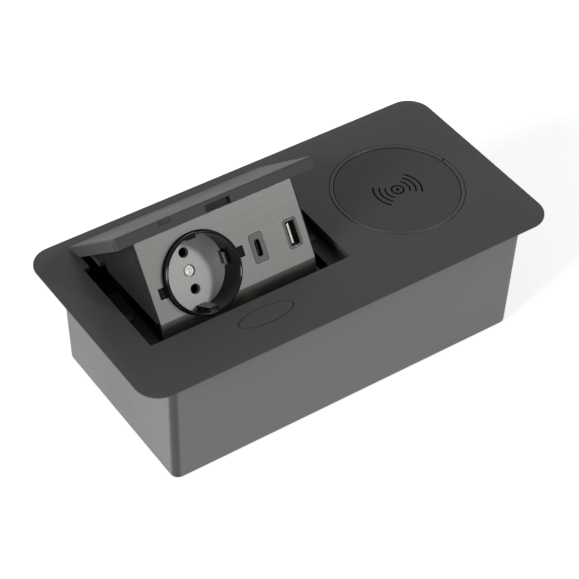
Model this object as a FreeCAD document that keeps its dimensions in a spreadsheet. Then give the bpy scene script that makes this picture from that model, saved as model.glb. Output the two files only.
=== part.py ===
import FreeCAD, Part
import Sketcher
import math
import os
import re

# In-desk power module: a fixed plate over a drafted tub, a tilting cassette with one
# earthed socket and two charging ports under a lid, and a wireless charging disc.
# The frame stands on the tub's flat bottom: X to the charging disc, Y to the hinge, Z up.
# The cassette is drawn closed, as its mould is, and then turned open about its hinge pins.
# Lengths are millimetres and angles are degrees.

PLATE = [
    ("body_height", 70.6, "bottom of the tub to the top of the plate"),
    ("plate_length", 240, "plate along X"),
    ("plate_width", 119, "plate along Y"),
    ("plate_thick", 2.8, "plate"),
    ("plate_corner", 13, "radius of the plate's corners"),
    ("rim_width", 4.5, "sloped band round the plate"),
    ("rim_drop", 0.3, "fall of the sloped band"),
    ("rim_under", 1.8, "chamfer under the plate's edge"),
    ("opening_left", -99.5, "left edge of the cassette's opening"),
    ("opening_front", -27.25, "front edge of the opening"),
    ("opening_length", 115, "opening along X"),
    ("opening_depth", 63.25, "opening along Y"),
    ("arm_slot_inset", 3.5, "step from the opening's side to an arm's slot"),
    ("arm_slot_width", 5.4, "slot for a hinge arm"),
    ("arm_slot_depth", 14.5, "slot behind the opening"),
]
TUB = [
    ("box_length", 206, "tub at its bottom, along X"),
    ("box_width", 104.2, "tub at its bottom, along Y"),
    ("box_draft", 1.35, "draft of the tub's walls"),
    ("box_corner", 4.5, "radius of the tub's upright corners"),
    ("box_edge", 2, "radius round the tub's bottom"),
    ("box_wall", 2, "tub's wall"),
    ("box_floor", 2.5, "tub's floor"),
    ("post_inset_x", 7.5, "corner screws from the tub's ends"),
    ("post_inset_y", 8, "corner screws from the tub's sides"),
    ("back_post_x", -60, "fourth corner screw, beside the left hinge"),
    ("boss_top", 5.5, "top of the tub's screw bosses"),
    ("sink_deep", 2.6, "recess for the heads under the tub"),
    ("post_radius", 3.2, "screw posts under the plate"),
    ("screw_radius", 1.5, "assembly screws"),
    ("screw_fit", 0.2, "room round a screw"),
    ("head_radius", 2.7, "screw heads"),
    ("head_tall", 1.7, "screw heads"),
    ("drive_wide", 0.7, "cross in a screw's head"),
    ("screw_bite", 9, "depth of a long screw in its post"),
    ("part_gap", 0.3, "room between loose neighbours"),
    ("inlet_high", 22, "cable inlet above the bottom"),
    ("inlet_y", 24, "cable inlet along Y"),
    ("inlet_radius", 7, "hole for the grommet"),
    ("cable_radius", 3.6, "bore for the mains cable"),
    ("grommet_flange", 1.6, "grommet's flanges beyond its hole"),
    ("grommet_proud", 1.2, "grommet's outer flange"),
    ("clamp_inset", 18, "cord clamp from the tub's end"),
    ("clamp_long", 8, "cord clamp along the cable"),
    ("clamp_tall", 6, "cord clamp's strap"),
    ("clamp_screw_off", 8.4, "clamp's screws from the cable"),
]
HINGE = [
    ("open_angle", 40.8, "tilt of the open cassette"),
    ("pivot_y", 46.3, "hinge axis along Y"),
    ("pivot_drop", 22.3, "hinge axis below the plate's top"),
    ("pin_radius", 1.5, "hinge pins"),
    ("pin_fit", 0.06, "running clearance round a pin"),
    ("boss_radius", 3.6, "boss round a hinge pin"),
    ("arm_inset", 4.3, "arms from the opening's sides"),
    ("arm_thick", 3.4, "hinge arms"),
    ("arm_root", 8.5, "front of an arm from the opening's back edge, closed"),
    ("arm_root_wide", 3.1, "arm at the lid"),
    ("bearing_thick", 2, "inner bearing plates"),
    ("outer_bearing", 1.2, "outer bearing plates"),
    ("spring_wire", 0.7, "torsion spring's wire"),
    ("spring_turn", 2.7, "radius of the torsion spring's turns"),
    ("spring_turns", 3.25, "torsion spring's turns between its legs"),
    ("spring_leg", 7.5, "torsion spring's legs"),
    ("spring_play", 0.1, "torsion spring from the arm and the bearing"),
]
LID = [
    ("lid_gap", 0.9, "gap round the lid at its sides and front"),
    ("lid_back_gap", 0.65, "gap behind the lid"),
    ("lid_tall", 6, "lid's skirt"),
    ("lid_sheet", 1.8, "lid's top"),
    ("lid_wall", 1.3, "lid's skirt wall"),
    ("lid_edge", 0.8, "rounding of the lid's edges"),
    ("skirt_short", 9.35, "side skirts' full depth ends this far from the lid's back"),
    ("heel_run", 1.15, "bevel under the lid's back edge"),
    ("heel_tall", 0.8, "bevel under the lid's back edge"),
    ("slot_long", 14.2, "latch's slot in the front skirt"),
    ("slot_low", 0.5, "strip under the latch's slot"),
    ("slot_tall", 3.3, "latch's slot"),
    ("pit_x", -71, "small pit in the lid's front edge"),
    ("pit_long", 6.8, "small pit along X"),
    ("pit_tall", 2.8, "small pit down the edge"),
    ("pit_deep", 1.1, "small pit into the edge"),
    ("slit_wide", 0.8, "slit in the side skirt by the front corner"),
    ("slit_tall", 4.2, "slit in the side skirt"),
]
CASSETTE = [
    ("panel_left", -89.3, "left edge of the face panel"),
    ("panel_width", 88.6, "face panel along X"),
    ("panel_tall", 41.4, "flat of the face panel"),
    ("panel_sheet", 1.2, "face panel's metal"),
    ("panel_back", 1.45, "face panel behind the lid's front face"),
    ("panel_tilt", 6.8, "lean of the face panel when closed"),
    ("foot_angle", 16, "curved foot of the face panel, about the hinge"),
    ("rim_back", 3.5, "cassette shell's edge behind the panel's face"),
    ("shell_wall", 1.4, "cassette shell"),
    ("cheek_left", 0.6, "left cheek beyond the panel's left edge"),
    ("cheek_right", 1.6, "right cheek beyond the panel's right edge"),
    ("shell_back", 17.5, "back of the shell from the opening's back edge, closed"),
    ("shell_heel", 17.6, "shell's back edge below the plate's top, closed"),
    ("toe_rise", 1.0, "shell's toe above the panel's bend"),
    ("bridge_short", 5.5, "bridge under the lid from the opening's back edge"),
    ("bridge_rise", 3.4, "shell's front wall above the panel"),
    ("lid_screw_inset", 12, "lid's screws from the panel's ends"),
    ("lid_screw_front", 30, "front lid screws before the shell's back"),
    ("lid_screw_back", 6, "back lid screws behind the shell's back"),
    ("small_screw", 1.2, "small screws"),
    ("small_head", 2.2, "small screws' heads"),
    ("small_head_tall", 1.3, "small screws' heads"),
]
OUTLETS = [
    ("ports_drop", 25.8, "outlets' centre line below the lid"),
    ("socket_x", -60.7, "socket's centre"),
    ("collar_radius", 20.4, "socket's collar"),
    ("recess_radius", 19.2, "socket's recess"),
    ("collar_proud", 3.5, "collar in front of the panel"),
    ("collar_gap", 0.45, "gap between collar and panel"),
    ("recess_deep", 17.5, "recess from the collar's front"),
    ("floor_thick", 2.6, "floor of the recess"),
    ("base_step", 0.4, "step that stops the base in the insert"),
    ("insert_wall", 1.6, "insert's wall behind the panel"),
    ("insert_flange", 1.2, "insert's flange beyond its wall"),
    ("flange_thick", 1.5, "insert's flange"),
    ("base_deep", 10.6, "socket base behind its floor"),
    ("cover_thick", 1.4, "socket's back cover"),
    ("pin_pitch", 19, "pin holes"),
    ("pin_hole", 2.65, "pin holes"),
    ("contact_radius", 3.5, "sleeve contacts"),
    ("contact_bore", 2.3, "sleeve contacts"),
    ("contact_long", 9, "sleeve contacts"),
    ("clip_wide", 6.4, "earth clip"),
    ("clip_thick", 0.8, "earth clip's metal"),
    ("clip_reach", 6, "earth clip before the floor"),
    ("clip_nose", 0.85, "bead on the earth clip"),
    ("key_wide", 5, "guide ribs in the recess"),
    ("key_proud", 1.9, "guide ribs in the recess"),
    ("notch_long", 4.1, "snap notch beyond the collar"),
    ("notch_tall", 5.6, "snap notch along the panel"),
    ("notch_shift", 1.8, "left notch lower and right notch higher than the centre"),
    ("bezel_tall", 15, "port's bezel along the panel"),
    ("bezel_wide", 7.5, "port's bezel across"),
    ("bezel_corner", 1.6, "port's bezel"),
    ("bezel_deep", 3, "port's bezel"),
    ("bezel_proud", 0.2, "port's bezel before the panel"),
    ("bezel_gap", 0.15, "gap round a bezel"),
    ("port_c_x", -28.2, "small port's centre"),
    ("port_c_tall", 8.94, "small port's shell"),
    ("port_c_wide", 3.16, "small port's shell"),
    ("port_c_corner", 1.5, "small port's shell"),
    ("port_a_x", -8.2, "large port's centre"),
    ("port_a_tall", 13.1, "large port's shell"),
    ("port_a_wide", 5.7, "large port's shell"),
    ("port_a_corner", 0.6, "large port's shell"),
    ("port_sheet", 0.3, "ports' metal shells"),
    ("port_deep", 11, "ports' shells"),
    ("port_set_back", 0.4, "ports behind the panel's face"),
    ("tongue_tall", 10.6, "large port's tongue"),
    ("tongue_thick", 1.8, "large port's tongue"),
    ("usb_board_tall", 24, "port board along the panel"),
    ("usb_board_wide", 33, "port board along X"),
]
FRAME = [
    ("frame_wall", 1.2, "well frame's walls"),
    ("frame_deep", 27.8, "well frame below the plate's top"),
    ("corner_cut", 2.8, "cut corner beside the tub's rounded one"),
    ("ledge_drop", 7, "side ledges below the plate's top"),
    ("ledge_thick", 1.6, "side ledges"),
    ("ledge_left_wide", 9.2, "left ledge"),
    ("ledge_right_wide", 8.2, "right ledge"),
    ("ledge_back", 16, "ledges end this far before the opening's back edge"),
    ("front_gap", 2.75, "front wall behind the opening's edge"),
    ("front_deep", 15, "front wall below the plate's top"),
    ("bumper_radius", 2.3, "rubber bumper"),
    ("bumper_inset", 3.9, "bumpers from the opening's sides"),
    ("bumper_proud", 0.9, "bumper above its ledge"),
    ("ear_drop", 8, "screw ears below the plate's top"),
    ("ear_half", 4.2, "screw ears"),
    ("ear_left_x", -80, "left screw ears"),
    ("ear_right_x", 0, "front right screw ear"),
    ("ear_back_x", -10, "back right screw ear"),
    ("ear_off", 5.8, "front ears before the front wall"),
    ("ear_back_off", 6.4, "back ears before the back bar"),
]
GEARS = [
    ("gear_module", 1, "gear teeth"),
    ("pinion_teeth", 8, "damper's pinion"),
    ("sector_teeth", 54, "full count of the toothed sector"),
    ("damper_direction", 150, "pinion seen from the hinge, from the back upwards"),
    ("gear_wide", 3, "face width of the teeth"),
    ("gear_clear", 0.7, "gears from the cheek"),
    ("sector_rim", 2.9, "sector's rim behind its teeth"),
    ("tooth_share", 0.36, "tooth's share of the pitch"),
    ("tooth_tip_share", 0.22, "tooth's share of the pitch at its tip"),
    ("tooth_up", 0.75, "tooth above the pitch circle"),
    ("tooth_down", 1.1, "tooth below the pitch circle"),
    ("damper_radius", 5, "rotary damper"),
    ("damper_long", 6, "rotary damper"),
    ("damper_gap", 1.4, "damper from its pinion"),
    ("axle_radius", 1.2, "damper's axle"),
]
BUTTON = [
    ("button_x", -42, "release button's centre"),
    ("button_y", -39, "release button's centre"),
    ("button_half_long", 15.3, "release button"),
    ("button_half_wide", 5.2, "release button"),
    ("button_gap", 0.45, "gap round the button"),
    ("button_cap", 3.2, "release button's cap"),
    ("button_lip", 1.2, "lip that keeps the button in"),
    ("button_travel", 1.6, "release button's press"),
    ("guide_drop", 9.2, "latch guide below the plate's top"),
    ("guide_thick", 1.6, "latch guide"),
    ("guide_screw_off", 21, "guide's screws from the button's centre"),
    ("latch_wide", 10.5, "latch slide along X"),
    ("latch_thick", 1.8, "latch slide"),
    ("latch_tail", 18.55, "back end of the latch slide from the opening's edge"),
    ("latch_reach", 1.2, "latch's nose past the lid's front face"),
    ("nose_drop", 3.2, "nose's top below the plate's top"),
    ("stem_wide", 4, "button's stem along X"),
    ("stem_deep", 1.6, "button's stem along Y"),
    ("stem_long", 7.7, "button's stem"),
    ("coil_radius", 1.9, "button's springs"),
    ("coil_wire", 0.5, "button's springs"),
    ("coil_off", 11, "button's springs from its centre"),
]
CHARGER = [
    ("disc_x", 65.9, "charging disc's centre"),
    ("disc_y", 1.7, "charging disc's centre"),
    ("charger_hole", 35.2, "plate's round hole"),
    ("ring_radius", 34.9, "trim ring"),
    ("ring_wide", 1.9, "trim ring's face"),
    ("ring_proud", 0.2, "trim ring above the plate"),
    ("ring_flange", 1.5, "trim ring's flange under the plate"),
    ("ring_flange_thick", 1.2, "trim ring's flange"),
    ("ring_ledge", 2, "ledge inside the ring"),
    ("disc_thick", 2.2, "charging disc"),
    ("disc_gap", 0.15, "gap round the disc"),
    ("disc_low", 0.3, "disc below the plate's top"),
    ("nick_angle", 9, "nick in the ring, from X"),
    ("nick_long", 1.8, "nick in the ring"),
    ("cup_radius", 34.8, "charger's cup"),
    ("cup_deep", 9.7, "charger's cup"),
    ("cup_wall", 1.5, "charger's cup"),
    ("cup_ear_drop", 7, "cup's ears below the plate's top"),
    ("coil_outer", 21, "charging coil"),
    ("coil_inner", 10.5, "charging coil"),
    ("coil_thick", 1.5, "charging coil"),
    ("ferrite_thick", 0.9, "ferrite sheet"),
    ("ferrite_edge", 1.5, "ferrite sheet beyond the coil"),
    ("board_thick", 1.6, "circuit boards"),
    ("board_radius", 29, "charger's board"),
    ("board_post", 3.1, "posts under the charger's board"),
]
SUPPLY = [
    ("supply_x", 58, "supply board's centre"),
    ("supply_y", -21, "supply board's centre"),
    ("supply_long", 60, "supply board along X"),
    ("supply_wide", 44, "supply board along Y"),
    ("supply_high", 8, "supply board above the tub's floor"),
    ("supply_inset", 4, "supply board's screws from its edges"),
    ("core_long", 26, "transformer's core"),
    ("core_tall", 20, "transformer's core"),
    ("core_thick", 10, "transformer's core"),
    ("winding_wide", 20, "transformer's winding"),
    ("capacitor_radius", 6, "filter capacitors"),
    ("capacitor_tall", 20, "filter capacitors"),
    ("terminal_x", 50, "terminal block's centre"),
    ("terminal_long", 26, "terminal block along X"),
    ("terminal_wide", 18, "terminal block along Y"),
    ("terminal_tall", 14, "terminal block"),
    ("terminal_pad", 3, "pad under the terminal block"),
]
FUNCTIONS = {"sin", "cos", "tan", "sqrt", "atan", "deg"}

doc = FreeCAD.newDocument("DeskPowerModule")
sheet = doc.addObject("Spreadsheet::Sheet", "Sizes")
sub_parts = []


def enter_sizes(groups):
    """Writes each size with its alias and its meaning into the sheet."""
    row = 1
    for sizes in groups:
        for name, value, meaning in sizes:
            sheet.set(f"A{row}", name)
            sheet.set(f"B{row}", str(value))
            sheet.setAlias(f"B{row}", name)
            sheet.set(f"C{row}", meaning)
            row += 1
    doc.recompute()


def size(name):
    """Reads one size as a number."""
    return float(sheet.get(name))


def formula(text):
    """Turns a formula in the sheet's words into one that reads the sheet's cells."""
    return re.sub(r"[A-Za-z]\w*", lambda word: word.group() if word.group() in FUNCTIONS
                  else "Sizes." + word.group(), str(text))


def bind(thing, prop, text):
    """Ties one property to a formula."""
    thing.setExpression(prop, formula(text))


def place(thing, x=0, y=0, z=0):
    """Ties a thing's place to formulas."""
    for axis, text in (("x", x), ("y", y), ("z", z)):
        bind(thing, "Placement.Base." + axis, text)
    return thing


TURNS = {
    "z": FreeCAD.Rotation(),
    "x": FreeCAD.Rotation(FreeCAD.Vector(0, 1, 0), 90),
    "y": FreeCAD.Rotation(FreeCAD.Vector(1, 0, 0), -90),
}


def block(name, x, y, z, length, width, height):
    """A box from its lowest corner."""
    box = doc.addObject("Part::Box", name)
    bind(box, "Length", length)
    bind(box, "Width", width)
    bind(box, "Height", height)
    return place(box, x, y, z)


def bar(name, x, y, z, length, width, height):
    """A box that stands on z and is centred along X and Y."""
    return block(name, f"({x}) - ({length}) / 2", f"({y}) - ({width}) / 2", z, length, width, height)


def rod(name, radius, height, x, y, z, along="z"):
    """A cylinder that starts at the given point and runs along one axis."""
    cylinder = doc.addObject("Part::Cylinder", name)
    cylinder.Placement = FreeCAD.Placement(FreeCAD.Vector(), TURNS[along])
    bind(cylinder, "Radius", radius)
    bind(cylinder, "Height", height)
    return place(cylinder, x, y, z)


def coil(name, radius, wire, turns, height, x, y, z, along="z"):
    """A wound spring whose ends stay inside the given height."""
    path = doc.addObject("Part::Helix", name + "Path")
    bind(path, "Radius", radius)
    bind(path, "Height", f"({height}) - ({wire})")
    bind(path, "Pitch", f"(({height}) - ({wire})) / {turns}")
    section = doc.addObject("Part::Circle", name + "Wire")
    section.Placement = FreeCAD.Placement(FreeCAD.Vector(), FreeCAD.Rotation(FreeCAD.Vector(1, 0, 0), 90))
    bind(section, "Radius", f"({wire}) / 2")
    bind(section, "Placement.Base.x", radius)
    doc.recompute()
    spring = doc.addObject("Part::Sweep", name)
    spring.Sections = [section]
    spring.Spine = (path, ["Edge1"])
    spring.Solid = True
    spring.Frenet = True
    spring.Placement = FreeCAD.Placement(FreeCAD.Vector(), TURNS[along])
    offset = {"x": x, "y": y, "z": z}
    offset[along] = f"({offset[along]}) + ({wire}) / 2"
    return place(spring, offset["x"], offset["y"], offset["z"])


def join(name, *pieces):
    """One solid from several."""
    fuse = doc.addObject("Part::MultiFuse", name)
    fuse.Shapes = list(pieces)
    fuse.Refine = True
    return fuse


def cut(name, base, *tools):
    """A solid less one or more tools."""
    less = doc.addObject("Part::Cut", name)
    less.Base = base
    less.Tool = tools[0] if len(tools) == 1 else join(name + "Tools", *tools)
    less.Refine = True
    return less


def gather(name, pieces):
    """Several things under one placement."""
    compound = doc.addObject("Part::Compound", name)
    compound.Links = list(pieces)
    return compound


def outline_sketch(body, plane, points):
    """A closed outline of straight lines with every corner tied to the sheet."""
    sketch = body.newObject("Sketcher::SketchObject", body.Name + "Outline")
    origin_plane = next(item for item in body.Origin.OriginFeatures if item.Role == plane)
    sketch.AttachmentSupport = (origin_plane, [""])
    sketch.MapMode = "FlatFace"
    count = len(points)
    corners = [FreeCAD.Vector(math.cos(2 * math.pi * k / count), math.sin(2 * math.pi * k / count), 0)
               for k in range(count)]
    for number in range(count):
        sketch.addGeometry(Part.LineSegment(corners[number], corners[(number + 1) % count]), False)
    for number in range(count):
        sketch.addConstraint(Sketcher.Constraint("Coincident", number, 2, (number + 1) % count, 1))
    for number, (across, upward) in enumerate(points):
        for kind, text in (("DistanceX", across), ("DistanceY", upward)):
            index = sketch.addConstraint(Sketcher.Constraint(kind, number, 1, 1.0 + number))
            label = f"{kind}{number}"
            sketch.renameConstraint(index, label)
            sketch.setExpression("Constraints." + label, formula(text))
    return sketch


def prism(name, plane, points, length, x=0, y=0, z=0):
    """A pad of a straight-sided outline."""
    body = doc.addObject("PartDesign::Body", name)
    sketch = outline_sketch(body, plane, points)
    pad = body.newObject("PartDesign::Pad", name + "Pad")
    pad.Profile = sketch
    bind(pad, "Length", length)
    return place(body, x, y, z)


def side_prism(name, points, length, x=0):
    """A pad along X of an outline given in Y and Z."""
    return prism(name, "YZ_Plane", points, length, x=x)


def turned(name, points, x=0, y=0, z=0, along="z"):
    """A body turned about its own upright axis, from (radius, height) points."""
    body = doc.addObject("PartDesign::Body", name)
    sketch = outline_sketch(body, "XZ_Plane", points)
    turn = body.newObject("PartDesign::Revolution", name + "Turn")
    turn.Profile = sketch
    turn.ReferenceAxis = (sketch, ["V_Axis"])
    turn.Angle = 360
    body.Placement = FreeCAD.Placement(FreeCAD.Vector(), TURNS[along])
    return place(body, x, y, z)


def upright_edges(shape):
    """Names of the edges that run up the corners of a pad."""
    names = []
    for number, edge in enumerate(shape.Edges, start=1):
        if len(edge.Vertexes) == 2:
            rise = edge.Vertexes[0].Point - edge.Vertexes[1].Point
            if abs(rise.z) > 0.6 * rise.Length:
                names.append(f"Edge{number}")
    return names


def level_edges(shape, height):
    """Names of the edges that lie at one height."""
    return [f"Edge{number}" for number, edge in enumerate(shape.Edges, start=1)
            if all(abs(vertex.Point.z - height) < 1e-4 for vertex in edge.Vertexes)]


def rounded(name, length, width, height, corner, draft=None):
    """A body with a rounded rectangle, centred and standing on its own origin."""
    half_long = f"({length}) / 2"
    half_wide = f"({width}) / 2"
    points = [(f"-{half_long}", f"-{half_wide}"), (half_long, f"-{half_wide}"),
              (half_long, half_wide), (f"-{half_long}", half_wide)]
    body = doc.addObject("PartDesign::Body", name)
    sketch = outline_sketch(body, "XY_Plane", points)
    pad = body.newObject("PartDesign::Pad", name + "Pad")
    pad.Profile = sketch
    bind(pad, "Length", height)
    if draft is not None:
        bind(pad, "TaperAngle", draft)
    doc.recompute()
    corners = body.newObject("PartDesign::Fillet", name + "Corners")
    corners.Base = (pad, upright_edges(pad.Shape))
    bind(corners, "Radius", corner)
    doc.recompute()
    return body


def slab(name, length, width, height, corner, x=0, y=0, z=0, draft=None, along="z"):
    """A rounded plate that starts at the given point and runs along one axis."""
    body = rounded(name, length, width, height, corner, draft)
    body.Placement = FreeCAD.Placement(FreeCAD.Vector(), TURNS[along])
    return place(body, x, y, z)


def finish(name, thing):
    """Names a finished sub-part, which becomes one file."""
    thing.Label = name
    sub_parts.append(thing)
    return thing


# The hinge axis, the opening and the panel's line under the lid, with the cassette closed.
PLATE_LOW = "(body_height - plate_thick)"
AXIS_Z = "(body_height - pivot_drop)"
OPENING_RIGHT = "(opening_left + opening_length)"
OPENING_BACK = "(opening_front + opening_depth)"
LID_FRONT = "(opening_front + lid_gap)"
LID_BACK = "(opening_front + opening_depth - lid_back_gap)"
LID_LOW = "(body_height - lid_tall)"
LID_UNDER = "(body_height - lid_sheet)"
PANEL_Y = f"({LID_FRONT} + panel_back)"
PANEL_RIGHT = "(panel_left + panel_width)"
COS_OPEN = "cos(open_angle * 1deg)"
SIN_OPEN = "sin(open_angle * 1deg)"
SIN_TILT = "sin(panel_tilt * 1deg)"
COS_TILT = "cos(panel_tilt * 1deg)"
CHEEK_LEFT = "(panel_left - cheek_left)"
CHEEK_RIGHT = f"({PANEL_RIGHT} + cheek_right)"
SHELL_BACK = f"({OPENING_BACK} - shell_back)"
ARM_LEFT = "(opening_left + arm_inset)"
ARM_RIGHT = f"({OPENING_RIGHT} - arm_inset - arm_thick)"
BEARING_LEFT = f"({ARM_LEFT} + arm_thick + part_gap)"
BEARING_RIGHT = f"({ARM_RIGHT} - part_gap - bearing_thick)"
OUTER_BEARING_LEFT = "(opening_left + outer_bearing)"
WELL_FRONT = "(opening_front - front_gap - frame_wall)"
WELL_BACK = "(pivot_y + boss_radius)"
FRAME_LOW = "(body_height - frame_deep)"
CLAMP_X = "(box_length / 2 - clamp_inset)"
SUPPLY_TOP = "(box_floor + supply_high + board_thick)"


def turn_about_x(thing, angle):
    """Ties a turn about X to a formula in degrees."""
    thing.Placement = FreeCAD.Placement(FreeCAD.Vector(), FreeCAD.Rotation(FreeCAD.Vector(1, 0, 0), 1))
    bind(thing, "Placement.Rotation.Angle", f"({angle}) * 1deg")


def swing_open(thing, y="0", z="0", lean_angle="0"):
    """Turns a piece of the closed cassette open; y and z are its own origin's place when closed."""
    turn_about_x(thing, f"{lean_angle} - open_angle")
    off_y = f"({y} - pivot_y)"
    off_z = f"({z} - {AXIS_Z})"
    bind(thing, "Placement.Base.y", f"pivot_y + {off_y} * {COS_OPEN} + {off_z} * {SIN_OPEN}")
    bind(thing, "Placement.Base.z", f"{AXIS_Z} - {off_y} * {SIN_OPEN} + {off_z} * {COS_OPEN}")
    return thing


def swing_panel(thing):
    """Turns a piece drawn on the panel open: X along it, Y into it, Z up from its top line."""
    return swing_open(thing, PANEL_Y, LID_LOW, "panel_tilt")


def on_closed(name, *pieces):
    """Sets pieces drawn on the panel into the closed cassette."""
    tilted = gather(name, pieces) if len(pieces) == 1 else join(name, *pieces)
    turn_about_x(tilted, "panel_tilt")
    bind(tilted, "Placement.Base.y", PANEL_Y)
    bind(tilted, "Placement.Base.z", LID_LOW)
    return tilted


def on_panel(depth, upward):
    """Closed Y and Z of a point given in the panel's own directions."""
    return (f"({PANEL_Y} + ({depth}) * {COS_TILT} - ({upward}) * {SIN_TILT})",
            f"({LID_LOW} + ({depth}) * {SIN_TILT} + ({upward}) * {COS_TILT})")


def screw(name, x, y, seat, length, upward=True):
    """A pan head screw on a seat; its body runs up from it, or down."""
    if upward:
        head = rod(name + "Head", "head_radius", "head_tall", x, y, f"({seat}) - head_tall")
        shank = rod(name + "Shank", "screw_radius", f"({length}) + 0.2", x, y, f"({seat}) - 0.2")
        cross_z = f"({seat}) - head_tall - 0.3"
    else:
        head = rod(name + "Head", "head_radius", "head_tall", x, y, seat)
        shank = rod(name + "Shank", "screw_radius", f"({length}) + 0.2", x, y, f"({seat}) - ({length})")
        cross_z = f"({seat}) + head_tall - 0.7"
    arms = [bar(name + "CrossA", x, y, cross_z, "head_radius * 1.2", "drive_wide", 1),
            bar(name + "CrossB", x, y, cross_z, "drive_wide", "head_radius * 1.2", 1)]
    return cut(name, join(name + "Solid", head, shank), *arms)


TUB_POSTS = [
    ("-box_length / 2 + post_inset_x", "-box_width / 2 + post_inset_y"),
    ("box_length / 2 - post_inset_x", "-box_width / 2 + post_inset_y"),
    ("box_length / 2 - post_inset_x", "box_width / 2 - post_inset_y"),
    ("back_post_x", "box_width / 2 - post_inset_y + 1.2"),
]
FRONT_EARS = [("ear_left_x", f"{WELL_FRONT} - ear_off"), ("ear_right_x", f"{WELL_FRONT} - ear_off")]
BACK_EARS = [("ear_left_x", f"{WELL_BACK} - ear_back_off"), ("ear_back_x", f"{WELL_BACK} - ear_back_off")]
GUIDE_POSTS = [("button_x - guide_screw_off", "button_y"), ("button_x + guide_screw_off", "button_y")]
CUP_REACH = "(ring_radius + ring_flange + post_radius + part_gap)"
CUP_POSTS = [(f"disc_x + {CUP_REACH} * cos({angle} * 1deg)", f"disc_y + {CUP_REACH} * sin({angle} * 1deg)")
             for angle in (62, 118, 270)]
SUPPLY_POSTS = [(f"supply_x + {along} * (supply_long / 2 - supply_inset)",
                 f"supply_y + {across} * (supply_wide / 2 - supply_inset)")
                for along in (-1, 1) for across in (-1, 1)]
CLAMP_POSTS = [(CLAMP_X, "inlet_y - clamp_screw_off"), (CLAMP_X, "inlet_y + clamp_screw_off")]
LID_SCREWS = [(x, y) for x in ("panel_left + lid_screw_inset", f"{PANEL_RIGHT} - lid_screw_inset")
              for y in (f"{SHELL_BACK} - lid_screw_front", f"{SHELL_BACK} + lid_screw_back")]
BUMPERS = [("left", "opening_left + bumper_inset"), ("right", f"{OPENING_RIGHT} - bumper_inset")]


def posts_under_plate(name, places, foot, bite):
    """Screw posts from the plate's underside down to a foot, and the holes in them."""
    posts = []
    holes = []
    for number, (x, y) in enumerate(places):
        posts.append(rod(f"{name}Post{number}", "post_radius", f"{PLATE_LOW} + 0.5 - ({foot})", x, y, foot))
        holes.append(rod(f"{name}Hole{number}", "screw_radius", f"({bite}) + 0.2", x, y, f"({foot}) - 0.2"))
    return posts, holes


def oval_block(name, half_long, half_wide, height, z):
    """An upright block of elliptical outline about the release button's centre."""
    curve = doc.addObject("Part::Ellipse", name + "Curve")
    bind(curve, "MajorRadius", half_long)
    bind(curve, "MinorRadius", half_wide)
    place(curve, "button_x", "button_y", z)
    solid = doc.addObject("Part::Extrusion", name)
    solid.Base = curve
    solid.DirMode = "Custom"
    solid.Dir = FreeCAD.Vector(0, 0, 1)
    solid.Solid = True
    bind(solid, "LengthFwd", height)
    return solid


def top_plate():
    """The plate with its sloped rim, its openings and the posts under it."""
    plate = rounded("PlateSlab", "plate_length", "plate_width", "plate_thick", "plate_corner")
    corners = plate.Tip
    rim = plate.newObject("PartDesign::Chamfer", "PlateRim")
    rim.Base = (corners, level_edges(corners.Shape, size("plate_thick")))
    rim.ChamferType = 1
    bind(rim, "Size", "rim_drop")
    bind(rim, "Size2", "rim_width")
    doc.recompute()
    top = max(rim.Shape.Faces, key=lambda face: face.CenterOfMass.z)
    if top.BoundBox.XLength > size("plate_length") - size("rim_width") - size("rim_drop"):
        rim.FlipDirection = True
        doc.recompute()
    under = plate.newObject("PartDesign::Chamfer", "PlateUnder")
    under.Base = (rim, level_edges(rim.Shape, 0))
    bind(under, "Size", "rim_under")
    doc.recompute()
    place(plate, 0, 0, PLATE_LOW)
    posts = []
    holes = []
    for name, places, foot, bite in (
            ("Tub", TUB_POSTS, "boss_top", "screw_bite + 1"),
            ("Ear", FRONT_EARS + BACK_EARS, "body_height - ear_drop", "ear_drop - plate_thick"),
            ("Guide", GUIDE_POSTS, "body_height - guide_drop", "guide_drop - plate_thick"),
            ("Cup", CUP_POSTS, "body_height - cup_ear_drop", "cup_ear_drop - plate_thick")):
        more_posts, more_holes = posts_under_plate("Plate" + name, places, foot, bite)
        posts += more_posts
        holes += more_holes
    below = f"{PLATE_LOW} - 1"
    deep = "plate_thick + 2"
    openings = [
        block("Opening", "opening_left", "opening_front", below, "opening_length", "opening_depth", deep),
        block("SlotLeft", "opening_left + arm_slot_inset", f"{OPENING_BACK} - 1", below,
              "arm_slot_width", "arm_slot_depth + 1", deep),
        block("SlotRight", f"{OPENING_RIGHT} - arm_slot_inset - arm_slot_width", f"{OPENING_BACK} - 1",
              below, "arm_slot_width", "arm_slot_depth + 1", deep),
        rod("ChargerHole", "charger_hole", deep, "disc_x", "disc_y", below),
        oval_block("ButtonHole", "button_half_long + button_gap", "button_half_wide + button_gap",
                   deep, below)]
    finish("top_plate", cut("TopPlate", join("PlateWhole", plate, *posts), *openings, *holes))


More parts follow.
